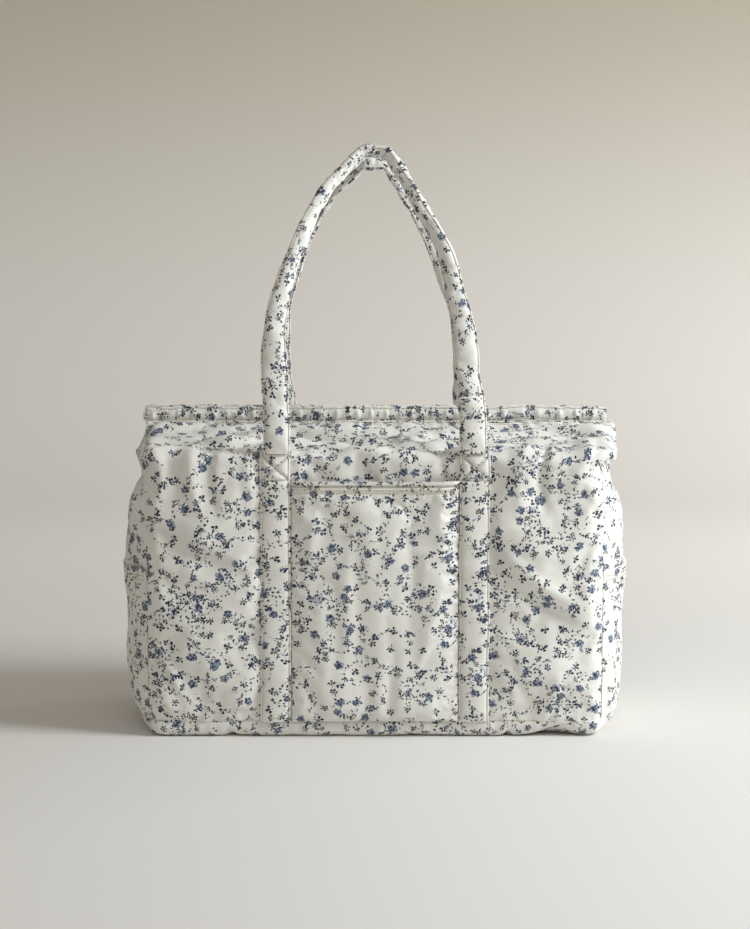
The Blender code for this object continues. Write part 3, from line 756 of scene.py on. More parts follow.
def wall_cloth(seed, folds, pocketed):
    """The padded wall and roof in one cloth, as a grid in the front's orientation."""
    s, v = spread((-1, 1), (0, CLOTH_LENGTH), (74, 93))
    x = s * cloth_half_width(v)
    shift = ROOF_SHIFT * roof_share(v)
    shift = shift + 2 * MM * smooth(v, WALL_LENGTH + 25 * MM, CLOTH_LENGTH)
    shift = shift if pocketed else -shift
    y, z, out_y, out_z = wall_path(v)
    edge = np.maximum(0, np.abs(x) - cloth_half_width(v) + SIDE_TURN_WIDTH) / SIDE_TURN_WIDTH
    roof = smooth(v, WALL_LENGTH - 4 * MM, WALL_LENGTH + 18 * MM)
    round_end = 1 - np.sqrt(np.clip(1 - 0.98 * edge**2, 0, 1))
    end_drop = 13 * MM - 12 * MM * smooth(v, CLOTH_LENGTH - 48 * MM, CLOTH_LENGTH - 4 * MM)
    turned_in = SIDE_TURN * edge**2 * (1 - roof) + end_drop * round_end * roof
    turned_in = turned_in + 0.35 * corner_pull(s, v)
    tucked = 0.5 * MM * fade(v, 1.8 * MM)

    strap = np.abs(np.abs(x) - STRAP_X) < STRAP_HALF + 1 * MM
    held = strap & (v < WALL_LENGTH + 2 * MM)
    if pocketed:
        held |= (np.abs(x) < POCKET_HALF + 2 * MM) & (v < POCKET_TOP - BASE_Z - 6 * MM)
    held |= (v < 1 * MM) | (v > CLOTH_LENGTH - 1 * MM) | (np.abs(s) > 0.995)
    free = smooth(np.abs(np.abs(x) - STRAP_X), STRAP_HALF, STRAP_HALF + 16 * MM)
    free = np.where(v > WALL_LENGTH, np.maximum(free, roof), free)
    free *= smooth(v, 0, 18 * MM) * (1 - smooth(v, CLOTH_LENGTH - 12 * MM, CLOTH_LENGTH))
    under_roll = bump(v, WALL_LENGTH - 14 * MM, 18 * MM) * (np.abs(x) < STRAP_X)
    free *= (1 - edge.clip(0, 1)) * (1 - 0.45 * under_roll)

    height = 1.0 * MM * waves(x, v, 80 * MM, seed) + 0.2 * MM * waves(x, v, 26 * MM, seed + 1)
    height = height + 0.55 * MM * (np.abs(waves(x, v, 58 * MM, seed + 8)) ** 0.8 - 0.7)
    ripples = waves(x * 0.42, v, 25 * MM, seed + 2, fan=1.9, turned=math.pi / 2)
    lively = 0.45 + 0.55 * smooth(waves(x, v, 100 * MM, seed + 9), -0.9, 0.9)
    height = height * (1 - 0.4 * roof) + 2.1 * MM * ripples * lively * roof
    for start, end, width, size in folds:
        height = height + fold(x, v, start, end, width * MM, 0.62 * size * MM)
    crown = 4.0 * MM * smooth(SEAM_X - np.abs(x), 0, 60 * MM) * smooth(np.abs(x) - STRAP_X, 0, 50 * MM)
    height = height + crown * (1 - roof) * smooth(v, 0, 60 * MM)
    out = height * free - turned_in - tucked
    pull = corner_pull(s, v) + 4 * MM * edge**5 * bump(v, WALL_LENGTH + 8 * MM, 18 * MM)
    pull = pull * np.sign(s)
    points = np.stack([x - pull + shift, y + out * out_y, z + out * out_z], axis=-1)
    points = settled(points, held, 0.014, (0.0, -0.8, -2.5), 3.5 * MM)
    fine = finer(points)
    s, v = spread((-1, 1), (0, CLOTH_LENGTH), fine.shape)
    x = s * cloth_half_width(v)

    # Puckers that run in from the straps, the side seams and the base seam
    along = 0.55 * waves(v, 0, 9 * MM, seed + 5)
    near_strap = np.abs(np.abs(x) - STRAP_X) - STRAP_HALF
    draw = np.where(near_strap > 0, fade(near_strap, 7 * MM), 0) * (v < WALL_LENGTH)
    to_side = cloth_half_width(v) - np.abs(x)
    draw = draw + 0.9 * fade(to_side, 8 * MM)
    down = 0.5 * waves(x, 0, 11 * MM, seed + 6) * fade(v, 9 * MM)
    ridge = 0.7 * waves(x, 0, 12 * MM, seed + 7) * fade(CLOTH_LENGTH - v, 10 * MM)
    crinkle = 0.30 * (np.abs(waves(x, v, 26 * MM, seed + 10)) ** 0.7 - 0.7)
    crinkle = crinkle * smooth(near_strap, 0, 12 * MM) * smooth(to_side, 0, 20 * MM)
    fine = raised(fine, (along * draw + down + ridge + crinkle) * MM)
    return fine, np.stack([x + 0.013 * seed, v + 0.021 * seed], axis=-1)


def wall_lines(points, v_lines, turn):
    """Stitch lines across the wall: at each v, from x = low to x = high."""
    rows, columns = points.shape[:2]
    facing = normals(points)
    lines = []
    for v, low, high in v_lines:
        x = np.arange(low, high, 1 * MM)
        row = np.full_like(x, v / CLOTH_LENGTH * (rows - 1))
        column = (x / cloth_half_width(np.full_like(x, v)) + 1) / 2 * (columns - 1)
        lines.append(line_on(points, facing, row, column, turn))
    return lines


def make_wall(side, turn, seed, folds):
    points, cloth = wall_cloth(seed, folds, side == "front")
    ridge = SEAM_X - 2 * MM
    v_lines = [(1.0 * MM, -0.14, 0.165), (CLOTH_LENGTH - 4 * MM, -ridge, ridge)]
    lines = wall_lines(points, v_lines, turn)
    to_ridge = np.linspace(CLOTH_LENGTH, 0, points.shape[0])[:, None]
    thickness = 3.2 * MM - 2.3 * MM * (1 - smooth(to_ridge, 1 * MM, 12 * MM))
    thickness = np.broadcast_to(thickness, points.shape[:2])
    obj = sheet_object(side + "_cloth", turn(points), cloth, thickness, [PRINT, PLAIN])
    start, end = (0.0, -WALL_Y, CORNER_Z - 6 * MM), (0.0, 18 * MM - WALL_Y, CORNER_Z + 3 * MM)
    cross_joint(obj, "printed_cotton", side + "_flap", turn, start, end)
    names = ("panel", "wadding", "roof_panel", "roof_wadding", "roof_lining")
    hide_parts(*(side + "_" + name for name in names))
    seam = stitches_object(side + "_base_topstitch", lines[:1])
    dress(seam, "bag")
    roof = stitches_object(side + "_roof_topstitch", lines[1:])
    dress(roof, side + "_flap")


# Gussets and their pockets

GUSSET_BULGE = 22.5 * MM
END_FULLNESS = {"right": 1.45, "left": 1.0}  # the right end of the base is fuller


def gusset_half(z):
    narrowing = (GABLE_TOP + 1 * MM - z) / (GABLE_TOP + 1 * MM - EDGE_Z)
    gable = 12 * MM + (GUSSET_HALF - 12 * MM) * np.clip(narrowing, 0, 1)
    return np.where(z > EDGE_Z, gable, GUSSET_HALF + 0.5 * MM)


def end_bulge(y, full):
    """How far the base's ends and the gussets' feet swell out past the side seams."""
    return 13.5 * MM * full * (1 - np.minimum(np.abs(y / GUSSET_HALF), 1) ** 4)


def gusset_grid(side, t, z, seed, wrinkled=1.0):
    y = t * gusset_half(z)
    foot = 1.5 * MM + 14 * MM * END_FULLNESS[side]
    rise = 1 - (1 - foot / GUSSET_BULGE) * fade(np.maximum(z - BASE_Z, 0), 15 * MM)
    puff = 4.5 * MM * bump(z, 0.190, 45 * MM) - 13 * MM * bump(z, 0.266, 24 * MM)
    fall = 1 - np.abs(t) ** 3.6
    above = smooth(z, EDGE_Z - 4 * MM, EDGE_Z + 6 * MM)
    x = SEAM_X - 1.5 * MM + fall * (GUSSET_BULGE * rise + puff) * (1 - 0.42 * above)
    x = x + above * 5 * MM * np.abs(t) ** 3.6
    x = x - 7 * MM * smooth(z, GABLE_TOP - 12 * MM, GABLE_TOP) ** 2
    tucked = 1.0 * MM * fade(z - BASE_Z, 1.8 * MM)
    free = smooth(1 - np.abs(t), 0, 0.35) * smooth(z, BASE_Z, BASE_Z + 20 * MM)
    height = 1.1 * MM * waves(y, z, 60 * MM, seed) + 0.6 * MM * waves(y, z, 24 * MM, seed + 1)
    height += fold(y, z, (-0.07, 0.262), (0.06, 0.272), 8 * MM, -2.0 * MM)
    x = x + height * free * wrinkled - tucked
    y = y * (1 - 0.01 * fade(z - BASE_Z, 16 * MM))
    return np.stack([x, y, z], axis=-1)


def make_gusset(side, turn, seed):
    top = GABLE_TOP + 1 * MM
    t, z = spread((-1, 1), (BASE_Z, top), (60, 41))
    points = gusset_grid(side, t, z, seed)
    held = (np.abs(t) > 0.99) | (z < BASE_Z + 1 * MM) | (z > EDGE_Z + 8 * MM)
    points = settled(points, held, 0.025, (1.0, 0.0, -3.0), 3.5 * MM)
    fine = finer(points)
    t, z = spread((-1, 1), (BASE_Z, top), fine.shape)
    pucker = 0.6 * waves(z, 0, 9 * MM, seed + 5) * np.exp(-(1 - np.abs(t)) * 9)
    pucker += 0.5 * waves(t * GUSSET_HALF, 0, 10 * MM, seed + 6) * fade(z - BASE_Z, 9 * MM)
    fine = raised(fine, pucker * MM)
    cloth = np.stack([t * GUSSET_HALF + 0.31 + 0.017 * seed, z + 0.011 * seed], axis=-1)
    obj = sheet_object(side + "_gusset_cloth", turn(fine), cloth, 3 * MM, [PRINT, PLAIN])
    names = [side + "_gusset", side + "_wadding", side + "_gusset_fold"]
    dress(obj, "bag", names)


def make_side_pocket(side, turn, seed):
    """A pocket whose top is drawn in by elastic inside its hem."""
    half, top = 0.985, SIDE_POCKET_TOP
    t, z = spread((-half, half), (BASE_Z + 0.3 * MM, top), (76, 93))
    points = gusset_grid(side, t, z, seed, wrinkled=0.3)
    off = 1 - (np.abs(t) / half) ** 8
    foot = 1 - fade(z - BASE_Z, 10 * MM)
    to_top = top - z
    y = t * GUSSET_HALF
    gathers = waves(y, z * 0.12, 8.5 * MM, seed + 3, fan=0.5)
    fine_gathers = waves(y, z * 0.1, 4.6 * MM, seed + 4, fan=0.4)
    hem = smooth(to_top, 8 * MM, 13 * MM)
    near_hem = fade(np.maximum(to_top - 12 * MM, 0), 26 * MM)
    ruffle = gathers * (1.5 * near_hem * hem + 0.75 * (1 - hem)) + fine_gathers * 0.5 * near_hem
    low_folds = waves(y, z * 0.35, 15 * MM, seed + 7, fan=0.9)
    ruffle = ruffle + 0.8 * low_folds * bump(z, 0.075, 40 * MM)
    stand = (4.2 * MM * foot + ruffle * MM * smooth(off, 0, 0.4)) * off + 1.8 * MM
    stand = stand - 1.2 * MM * bump(to_top, 11.5 * MM, 1.6 * MM) * off
    points[..., 0] += stand
    cloth = np.stack([y * 1.25 + 0.55 + 0.017 * seed, z + 0.41], axis=-1)
    obj = sheet_object(side + "_pocket_cloth", turn(points), cloth, 1.6 * MM, [PRINT])
    names = [side + "_side_pocket", side + "_pocket_hem", side + "_pocket_elastic"]
    dress(obj, "bag", names)
    rows, columns = points.shape[:2]
    facing = normals(points)
    lines = []
    for below in (11.5 * MM, 7.0 * MM):
        row = np.full(columns * 2, (1 - below / (top - BASE_Z)) * (rows - 1))
        column = np.linspace(1, columns - 2, columns * 2)
        lines.append(line_on(points, facing, row, column, turn))
    dress(stitches_object(side + "_pocket_stitches", lines, length=2.2 * MM), "bag")


# Base


def outline(half_x, half_y, radius, count):
    """count points round a rectangle with round corners, and how far round each is in metres."""
    straight_x, straight_y = 2 * (half_x - radius), 2 * (half_y - radius)
    quarter = math.pi / 2 * radius
    total = 2 * (straight_x + straight_y) + 4 * quarter
    places = np.arange(count) * total / count
    points = np.zeros((count, 2))
    for i, place in enumerate(places):
        x, y, angle = half_x, radius - half_y, 0.0
        for straight in (straight_y, straight_x, straight_y, straight_x):
            step = min(place, straight)
            x, y = x - step * math.sin(angle), y + step * math.cos(angle)
            place -= step
            if place <= 0:
                break
            turn = min(place, quarter) / radius
            centre_x, centre_y = x - radius * math.cos(angle), y - radius * math.sin(angle)
            angle += turn
            x, y = centre_x + radius * math.cos(angle), centre_y + radius * math.sin(angle)
            place -= turn * radius
            if place <= 0:
                break
        points[i] = x, y
    return points, places, total


BASE_LEVELS = (  # inset and height of the tray's rings, in mm, from the seam down and inwards
    (1.4, 16.6), (0.5, 15.9), (0.1, 13.5), (0.0, 9.5), (0.4, 6.0), (1.6, 3.2), (3.8, 1.2),
    (7.5, 0.1), (11.0, 0.0), (18.0, 0.0), (30.0, 0.2), (60.0, 0.6), (100.0, 0.8),
)
BASE_LIFTS = (  # where the lower edge is off the floor: x, side, width and height in mm
    (186, -1, 20, 8.5), (-149, -1, 5, 4.0), (137, -1, 4, 4.5), (40, -1, 9, 1.2),
    (-30, 1, 20, 3.0), (160, 1, 16, 4.5),
)


def make_base():
    """The turned-up base: a padded tray whose lower edge lifts off the floor here and there."""
    count = 560
    around, places, total = outline(SEAM_X + 0.3 * MM, WALL_Y - 0.2 * MM, 14 * MM, count)
    at_end = smooth(np.abs(around[:, 0]), SEAM_X - 15 * MM, SEAM_X - 1 * MM)
    full = np.where(around[:, 0] > 0, END_FULLNESS["right"], END_FULLNESS["left"])
    out_x = np.sign(around[:, 0]) * at_end * end_bulge(around[:, 1], full)
    lift = 0.5 * MM * np.clip(waves(places, 0, 40 * MM, 41), 0, 1.5)
    for x, side, width, size in BASE_LIFTS:
        on_side = np.sign(around[:, 1]) == side
        lift = lift + size * MM * bump(around[:, 0], x * MM, width * MM) * on_side
    ripple = waves(places, 0, 9 * MM, 42)
    rows = []
    for inset, z in BASE_LEVELS:
        inset, z = inset * MM, z * MM
        swell = out_x * (0.15 + 0.85 * smooth(z, 0, 13 * MM)) * (1 - smooth(inset, 8 * MM, 40 * MM))
        wavy = 0.55 * MM * ripple * bump(z, 8 * MM, 6 * MM)
        shrink = np.array([1 - inset / SEAM_X, 1 - inset / WALL_Y])
        point = around * shrink
        point = point * (1 + wavy / np.linalg.norm(point, axis=1))[:, None]
        edge = bump(inset, 3 * MM, 12 * MM) * (1 - smooth(z, 7 * MM, 15 * MM))
        rows.append(np.column_stack([point[:, 0] + swell, point[:, 1], z + lift * edge]))
    rings = np.array(rows)
    cloth = flat_grid(np.append(places, total), -travel(rings[:, 0]))
    obj = sleeve_object("base_cloth", rings, cloth, [PRINT])
    dress(obj, "bag", ["bottom_panel", "bottom_wadding"])


# Straps and handles

HANDLE_FOOT_Y = -0.1084
HANDLE_LEAN = 0.095
APEX_DROP = 7.2 * MM  # centre line below the top of a raised handle
TOP_TWIST = math.radians(62)
ROLL_IN, ROLL_SWELL = 0.32, 0.34  # width lost and thickness gained towards the top
SEAM_AT = 0.86  # where the straps are sewn, as a share of their half width
HALF_COLUMNS = (0.2, 0.42, 0.6, 0.72, 0.81, SEAM_AT, 0.89, 0.92, 0.95, 0.98, 1)
STRAP_COLUMNS = np.array([-a for a in reversed(HALF_COLUMNS)] + [0, *HALF_COLUMNS])


def strap_height(a):
    """Half the thickness across a padded strap, in mm: a full middle between two flat edges."""
    middle = 4.3 * np.clip(1 - (a / (SEAM_AT + 0.01)) ** 2, 0, 1) ** 0.40
    lip = 1.35 * np.sqrt(np.clip(1 - ((np.abs(a) - 0.935) / 0.068) ** 2, 0, 1))
    return np.maximum(np.where(np.abs(a) > SEAM_AT, lip, middle), 0.35)


def handle_centre_line(top, sway, sway_from):
    """Centre line of a raised handle, from the right foot over the top to the left foot.

    Also gives the length along it, and how far each place has climbed, from 0 to 1.
    """
    leg_top, rise, shoulder, flat = 0.308, 0.160, (0.046, 0.048), 0.012
    first, second = (STRAP_X, leg_top), (STRAP_X, leg_top + rise)
    control = np.array([first, second, (flat + shoulder[0], top - shoulder[1]), (flat, top)])
    t = np.linspace(0, 1, 90)[:, None]
    weights = [(1 - t) ** 3, 3 * (1 - t) ** 2 * t, 3 * (1 - t) * t**2, t**3]
    arch = sum(w * c for w, c in zip(weights, control))
    leg = np.column_stack([np.full(8, STRAP_X), np.linspace(HANDLE_FOOT_Z, leg_top, 9)[:-1]])
    right = np.concatenate([leg, arch, [[0.0, top]]])
    climbed = np.clip((right[:, 1] - HANDLE_FOOT_Z) / (top - HANDLE_FOOT_Z), 0, 1)
    y = HANDLE_FOOT_Y + HANDLE_LEAN * climbed**1.3
    right = np.column_stack([right[:, 0], y, right[:, 1]])
    left = right[-2::-1] * [-1, 1, 1]
    line = np.concatenate([right, left])
    travelled = travel(line)
    at = np.linspace(0, travelled[-1], 420)
    line = at_travel(at, travelled, line)
    climbed = np.clip((line[:, 2] - HANDLE_FOOT_Z) / (top - HANDLE_FOOT_Z), 0, 1)
    begins = np.where(line[:, 0] > 0, sway_from[0], sway_from[1])
    line[:, 0] += sway * smooth(climbed - begins, 0, 0.32) * (1 - smooth(climbed, 0.88, 1.0))
    line[:, 0] += 4.5 * MM * bump(climbed, 0.45, 0.15) * np.sign(line[:, 0])
    wander = waves(at, 0, 95 * MM, 71 if sway < 0 else 72)
    line[:, 0] += 0.9 * MM * wander * smooth(climbed, 0, 0.3)
    soft = np.ones(7) / 7
    for k in range(3):
        line[3:-3, k] = np.convolve(line[:, k], soft, "valid")
    return line, at, climbed


def strap_frame(line, climbed):
    """Width and thickness vectors along a handle, which rolls in and turns edge-on at its top."""
    along = np.gradient(line, axis=0)
    along[0], along[-1] = (0, 0, 1), (0, 0, -1)
    along = unit(along)
    facing = unit(np.array([0.0, -1.0, 0.0]) + along * along[:, 1:2])
    turned = (TOP_TWIST * smooth(climbed, 0.35, 1.0))[:, None]
    rolled = smooth(climbed, 0.18, 0.66)[:, None]
    wide = np.cross(along, facing) * np.cos(turned) + facing * np.sin(turned)
    thick = np.cross(along, wide)
    return wide * (1 - ROLL_IN * rolled), thick * (1 + ROLL_SWELL * rolled)


def make_handle(side, turn, seed, sway, sway_from):
    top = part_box(side + "_handle")[1].z - APEX_DROP
    line, at, climbed = handle_centre_line(top, sway, sway_from)
    wide, thick = strap_frame(line, climbed)
    a = np.concatenate([STRAP_COLUMNS, STRAP_COLUMNS[-2:0:-1]])
    sign = np.concatenate([np.ones(len(STRAP_COLUMNS)), -np.ones(len(STRAP_COLUMNS) - 2)])
    height = strap_height(a) * sign * MM
    s = at[:, None]
    from_foot = np.minimum(at, at[-1] - at)
    pressed = 0.58 + 0.42 * smooth(from_foot, 0, 16 * MM)
    puff = 1 + 0.12 * waves(s, a[None] * 8 * MM, 30 * MM, seed)
    puff = puff - 0.16 * bump(waves(s, a[None] * 9 * MM, 64 * MM, seed + 3), 0, 0.16)
    pucker = 0.35 * MM * waves(s, a[None] * 3 * MM, 9 * MM, seed + 1) * sign
    pucker = pucker * bump(np.abs(a), 0.70, 0.18)
    up = height[None] * puff * pressed[:, None] + pucker
    half = STRAP_HALF * (1 - 0.05 * np.abs(waves(at, 0, 50 * MM, seed + 2)))
    sideways = wide[:, None] * (a[None, :, None] * half[:, None, None])
    rings = line[:, None] + sideways + thick[:, None] * up[..., None]
    around = np.concatenate([[0], np.cumsum(np.abs(np.diff(np.append(a, a[0]))) * STRAP_HALF)])
    cloth = flat_grid(around + 0.07 * seed, at + 0.05 * seed)
    obj = sleeve_object(side + "_handle_cloth", turn(rings), cloth, [PRINT])
    joint = side + "_handle", turn, (0.0, -0.108, HANDLE_FOOT_Z), (0.0, -0.108, HANDLE_FOOT_Z + 16 * MM)
    cross_joint(obj, "printed_cotton", *joint)
    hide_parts(side + "_handle", side + "_handle_core")

    lines = []
    for column in (-SEAM_AT, SEAM_AT):
        for face in (1, -1):
            rise = face * strap_height(np.array(SEAM_AT)) * MM * pressed
            points = line + wide * (column * half)[:, None] + thick * rise[:, None]
            lines.append((turn(points), turn(thick * face)))
    sewn = stitches_object(side + "_handle_stitches", lines)
    cross_joint(sewn, "plain_cotton", *joint)


BOX_LOW, BOX_HIGH = HANDLE_FOOT_Z - 27.5 * MM, HANDLE_FOOT_Z - 1.2 * MM  # the cross-stitched box


def sewn_strap_height(a, z):
    """Height of a sewn-down strap above the wall, in metres."""
    bottom = BASE_Z + 0.4 * MM
    pressed = 1 - 0.45 * bump(z, HANDLE_FOOT_Z, 4 * MM) - 0.35 * bump(z, bottom, 5 * MM)
    box = smooth(z, BOX_LOW - 1 * MM, BOX_LOW + 2 * MM)
    middle, half = (BOX_LOW + BOX_HIGH) / 2, (BOX_HIGH - BOX_LOW) / 2
    crossed = np.abs(np.abs(a) - np.abs((z - middle) / half))
    pressed = pressed - box * 0.75 * np.exp(-((crossed / 0.11) ** 2)) * (np.abs(a) < 0.84)
    pressed = pressed - 0.55 * bump(z, BOX_LOW, 1.5 * MM)
    return (1.1 + 0.85 * strap_height(a)) * pressed * MM


def make_sewn_strap(name, node, sign, turn, seed):
    """A strap sewn to the wall, spread a little wider and further out than the free handle."""
    centre_x, half = sign * (STRAP_X + 2 * MM), STRAP_HALF + 1.2 * MM
    z = np.linspace(BASE_Z + 0.3 * MM, HANDLE_FOOT_Z - 0.2 * MM, 190)
    a, z = np.meshgrid(STRAP_COLUMNS, z)
    height = sewn_strap_height(a, z)
    height = height * (1 + 0.10 * waves(z, a * 6 * MM, 34 * MM, seed))
    height += 0.22 * MM * waves(z, a * 3 * MM, 7 * MM, seed + 1) * bump(np.abs(a), 0.66, 0.16)
    x = centre_x + a * half + 0.4 * MM * waves(z, 0, 60 * MM, seed + 2)
    top = np.stack([x, STRAP_BACK_Y - height, z], axis=-1)
    back = np.stack([x, np.full_like(x, STRAP_BACK_Y), z], axis=-1)[:, ::-1]
    rings = np.concatenate([top, back[:, 1:-1]], axis=1)
    around = np.concatenate([a[0], 2 - a[0, 1:]]) * STRAP_HALF
    cloth = flat_grid(around + 0.09 * seed, z[:, 0] + 0.03 * seed)
    obj = sleeve_object(name, turn(rings), cloth, [PRINT])
    dress(obj, "bag", [node])
    facing = normals(top)
    rows, columns = top.shape[:2]
    span = z[-1, 0] - z[0, 0]
    lines = []

    def line(points_a, points_z):
        column = np.interp(points_a, STRAP_COLUMNS, np.arange(columns))
        row = (points_z - z[0, 0]) / span * (rows - 1)
        lines.append(line_on(top, facing, row, column, turn))

    up = np.linspace(BASE_Z + 2 * MM, HANDLE_FOOT_Z - 1 * MM, 300)
    line(np.full_like(up, -SEAM_AT), up)
    line(np.full_like(up, SEAM_AT), up)
    across = np.linspace(-SEAM_AT, SEAM_AT, 60)
    rising = BOX_LOW + (across + SEAM_AT) / (2 * SEAM_AT) * (BOX_HIGH - BOX_LOW)
    for level in (np.full_like(across, BOX_LOW), np.full_like(across, BOX_HIGH), rising, rising[::-1]):
        line(across, level)
    dress(stitches_object(name + "_stitches", lines), "bag")


# Front pocket


def make_front_pocket():
    half = POCKET_HALF + 0.5 * MM
    low, high = BASE_Z + 0.4 * MM, POCKET_TOP
    x, z = spread((-half, half), (low, high), (83, 57))
    sides = 1 - np.abs(x / half) ** 10
    foot = 1 - fade(z - low, 5 * MM)
    stand = 5.6 * MM * sides * foot
    y = -WALL_Y - 2.0 * MM - stand
    drape = waves(x, z * 0.35, 62 * MM, 21, fan=1.4) * 0.9 * MM
    drape += waves(x, z * 0.45, 24 * MM, 22, fan=1.4) * 0.25 * MM
    y = y - drape * sides * foot * smooth(high - z, 4 * MM, 40 * MM)
    points = np.stack([x, y, z], axis=-1)
    held = (np.abs(x) > half - 1 * MM) | (z < low + 1 * MM) | (z > high - 13 * MM)
    points = settled(points, held, 0.010, (0.0, -1.0, -2.0), 2 * MM)
    fine = finer(points, 3)
    x, z = spread((-half, half), (low, high), fine.shape)
    below = high - z
    hem_gathers = 0.10 * waves(x, 0, 5.2 * MM, 23) * bump(below, 9.5 * MM, 3.4 * MM)
    fading = fade(np.maximum(below - 12 * MM, 0), 22 * MM) * (below > 12 * MM)
    hem_gathers += 0.22 * waves(x, z * 0.1, 19 * MM, 24, fan=0.5) * fading
    grooves = -0.75 * bump(below, 12 * MM, 0.9 * MM) - 2.2 * bump(below, 5.2 * MM, 0.8 * MM)
    lip = 0.9 * (1 - smooth(below, 11.5 * MM, 13 * MM))
    lip = lip + 1.2 * (1 - smooth(below, 4.2 * MM, 5.2 * MM))
    to_side = half - np.abs(x)
    sides = 0.5 * waves(z, 0, 10 * MM, 25) * fade(to_side, 7 * MM)
    fine = raised(fine, (hem_gathers + grooves + lip + sides) * MM)
    cloth = np.stack([x + 0.47, z + 0.13], axis=-1)
    obj = sheet_object("front_pocket_cloth", fine, cloth, 1.8 * MM, [PRINT])
    dress(obj, "bag", ["front_pocket", "front_pocket_hem"])
    facing = normals(fine)
    rows, columns = fine.shape[:2]
    lines = []
    for down in (6.5 * MM, 12 * MM):
        row = np.full(columns, (1 - down / (high - low)) * (rows - 1))
        column = np.arange(columns, dtype=float)
        lines.append(line_on(fine, facing, row, column))
    for x in np.arange(2 * MM - half, half - 1 * MM, 1.8 * MM):
        down = np.array([7.2 * MM, 9.3 * MM, 11.4 * MM])
        row = (1 - down / (high - low)) * (rows - 1)
        column = np.full(3, (x / half + 1) / 2 * (columns - 1))
        lines.append(line_on(fine, facing, row, column))
    dress(stitches_object("front_pocket_stitches", lines), "bag")


# Zip bands, tapes and coils


def make_band(side, turn, seed):
    """The raised band: gathered between two rows of stitches, with soft round ends."""
    x = np.linspace(BAND_LOW.x + 0.5 * MM, BAND_HIGH.x - 0.5 * MM, 330)
    low, high = BAND_LOW.z, BAND_HIGH.z
    mid_y = (BAND_LOW.y + BAND_HIGH.y) / 2
    half_y = (BAND_HIGH.y - BAND_LOW.y) / 2
    angle = np.linspace(0, 2 * math.pi, 40, endpoint=False)
    cos, sin = np.cos(angle), np.sin(angle)
    flat_z = np.sign(sin) * np.abs(sin) ** 0.45
    flat_y = np.sign(cos) * np.abs(cos) ** 0.75
    left_end = 1 - 0.26 * (1 - smooth(x, BAND_LOW.x, BAND_LOW.x + 28 * MM))
    to_end = np.minimum((x - BAND_LOW.x) * 0.6, BAND_HIGH.x - x)
    rounded = np.sqrt(1 - (1 - np.clip(to_end / (5 * MM), 0.02, 1)) ** 2)
    tall = (high - low) / 2 * left_end * (0.35 + 0.65 * rounded)
    middle = low + (high - low) / 2 * left_end + 0.35 * MM * waves(x, 0, 90 * MM, seed)
    gather = waves(x[:, None], flat_z[None] * 4 * MM, 27 * MM, seed + 1, fan=0.6)
    sharp = (1 - np.minimum(np.abs(gather), 1)) ** 2.2
    between = bump(flat_z, 0, 0.62)[None]
    fine = waves(x[:, None], flat_z[None] * 2 * MM, 9 * MM, seed + 2)
    outside = np.where(flat_y < 0, 0.85, 0.25)[None]
    swell = 1 + (outside * sharp + 0.07 * fine) * between
    groove = 1 - 0.44 * bump(np.abs(flat_z), 0.66, 0.10)
    y = flat_y[None] * half_y * swell * groove[None] * (0.5 + 0.5 * rounded[:, None])
    top_wave = 0.35 * MM * waves(x, 0, 11 * MM, seed + 3)
    z = middle[:, None] + flat_z[None] * tall[:, None] + np.where(flat_z > 0.5, top_wave[:, None], 0)
    rings = np.stack([np.broadcast_to(x[:, None], y.shape), mid_y + y, z], axis=-1)
    section = np.column_stack([flat_y * half_y, flat_z * (high - low) / 2])
    around = travel(np.concatenate([section, section[:1]]))
    cloth = flat_grid(around + 0.6 + 0.1 * seed, x * 1.12 + 0.2)[..., ::-1]
    obj = sleeve_object(side + "_band_cloth", turn(rings), cloth, [PRINT])
    dress(obj, side + "_flap", [side + "_zip_band"])
    lines = []
    for level in (0.66, -0.66):
        for face in (-1, 1):
            z_line = middle + level * tall
            y_line = mid_y + face * half_y * 0.60
            points = np.column_stack([x, np.full_like(x, y_line), z_line])[12:-8]
            facing = np.tile([0.0, face, 0.0], (len(points), 1))
            lines.append((turn(points), turn(facing)))
    dress(stitches_object(side + "_band_stitches", lines), side + "_flap")


def make_piping(side, turn):
    """The rolled seam on the roof's edge, along the foot of the band."""
    x = np.linspace(4 * MM - ROOF_HALF, ROOF_HALF - 4 * MM, 240)
    angle = np.linspace(0, 2 * math.pi, 12, endpoint=False)
    mid_y = BAND_LOW.y - 1.4 * MM + 0.2 * MM * waves(x, 0, 14 * MM, 51)
    mid_z = BAND_LOW.z + 0.7 * MM + 0.2 * MM * waves(x, 0, 18 * MM, 52)
    y = mid_y[:, None] + 1.0 * MM * np.cos(angle)
    z = mid_z[:, None] + 1.0 * MM * np.sin(angle)
    rings = np.stack([np.broadcast_to(x[:, None], y.shape), y, z], axis=-1)
    cloth = flat_grid(np.linspace(0, 8 * MM, 13), x)
    obj = sleeve_object(side + "_ridge_piping", turn(rings), cloth, [PRINT])
    dress(obj, side + "_flap")


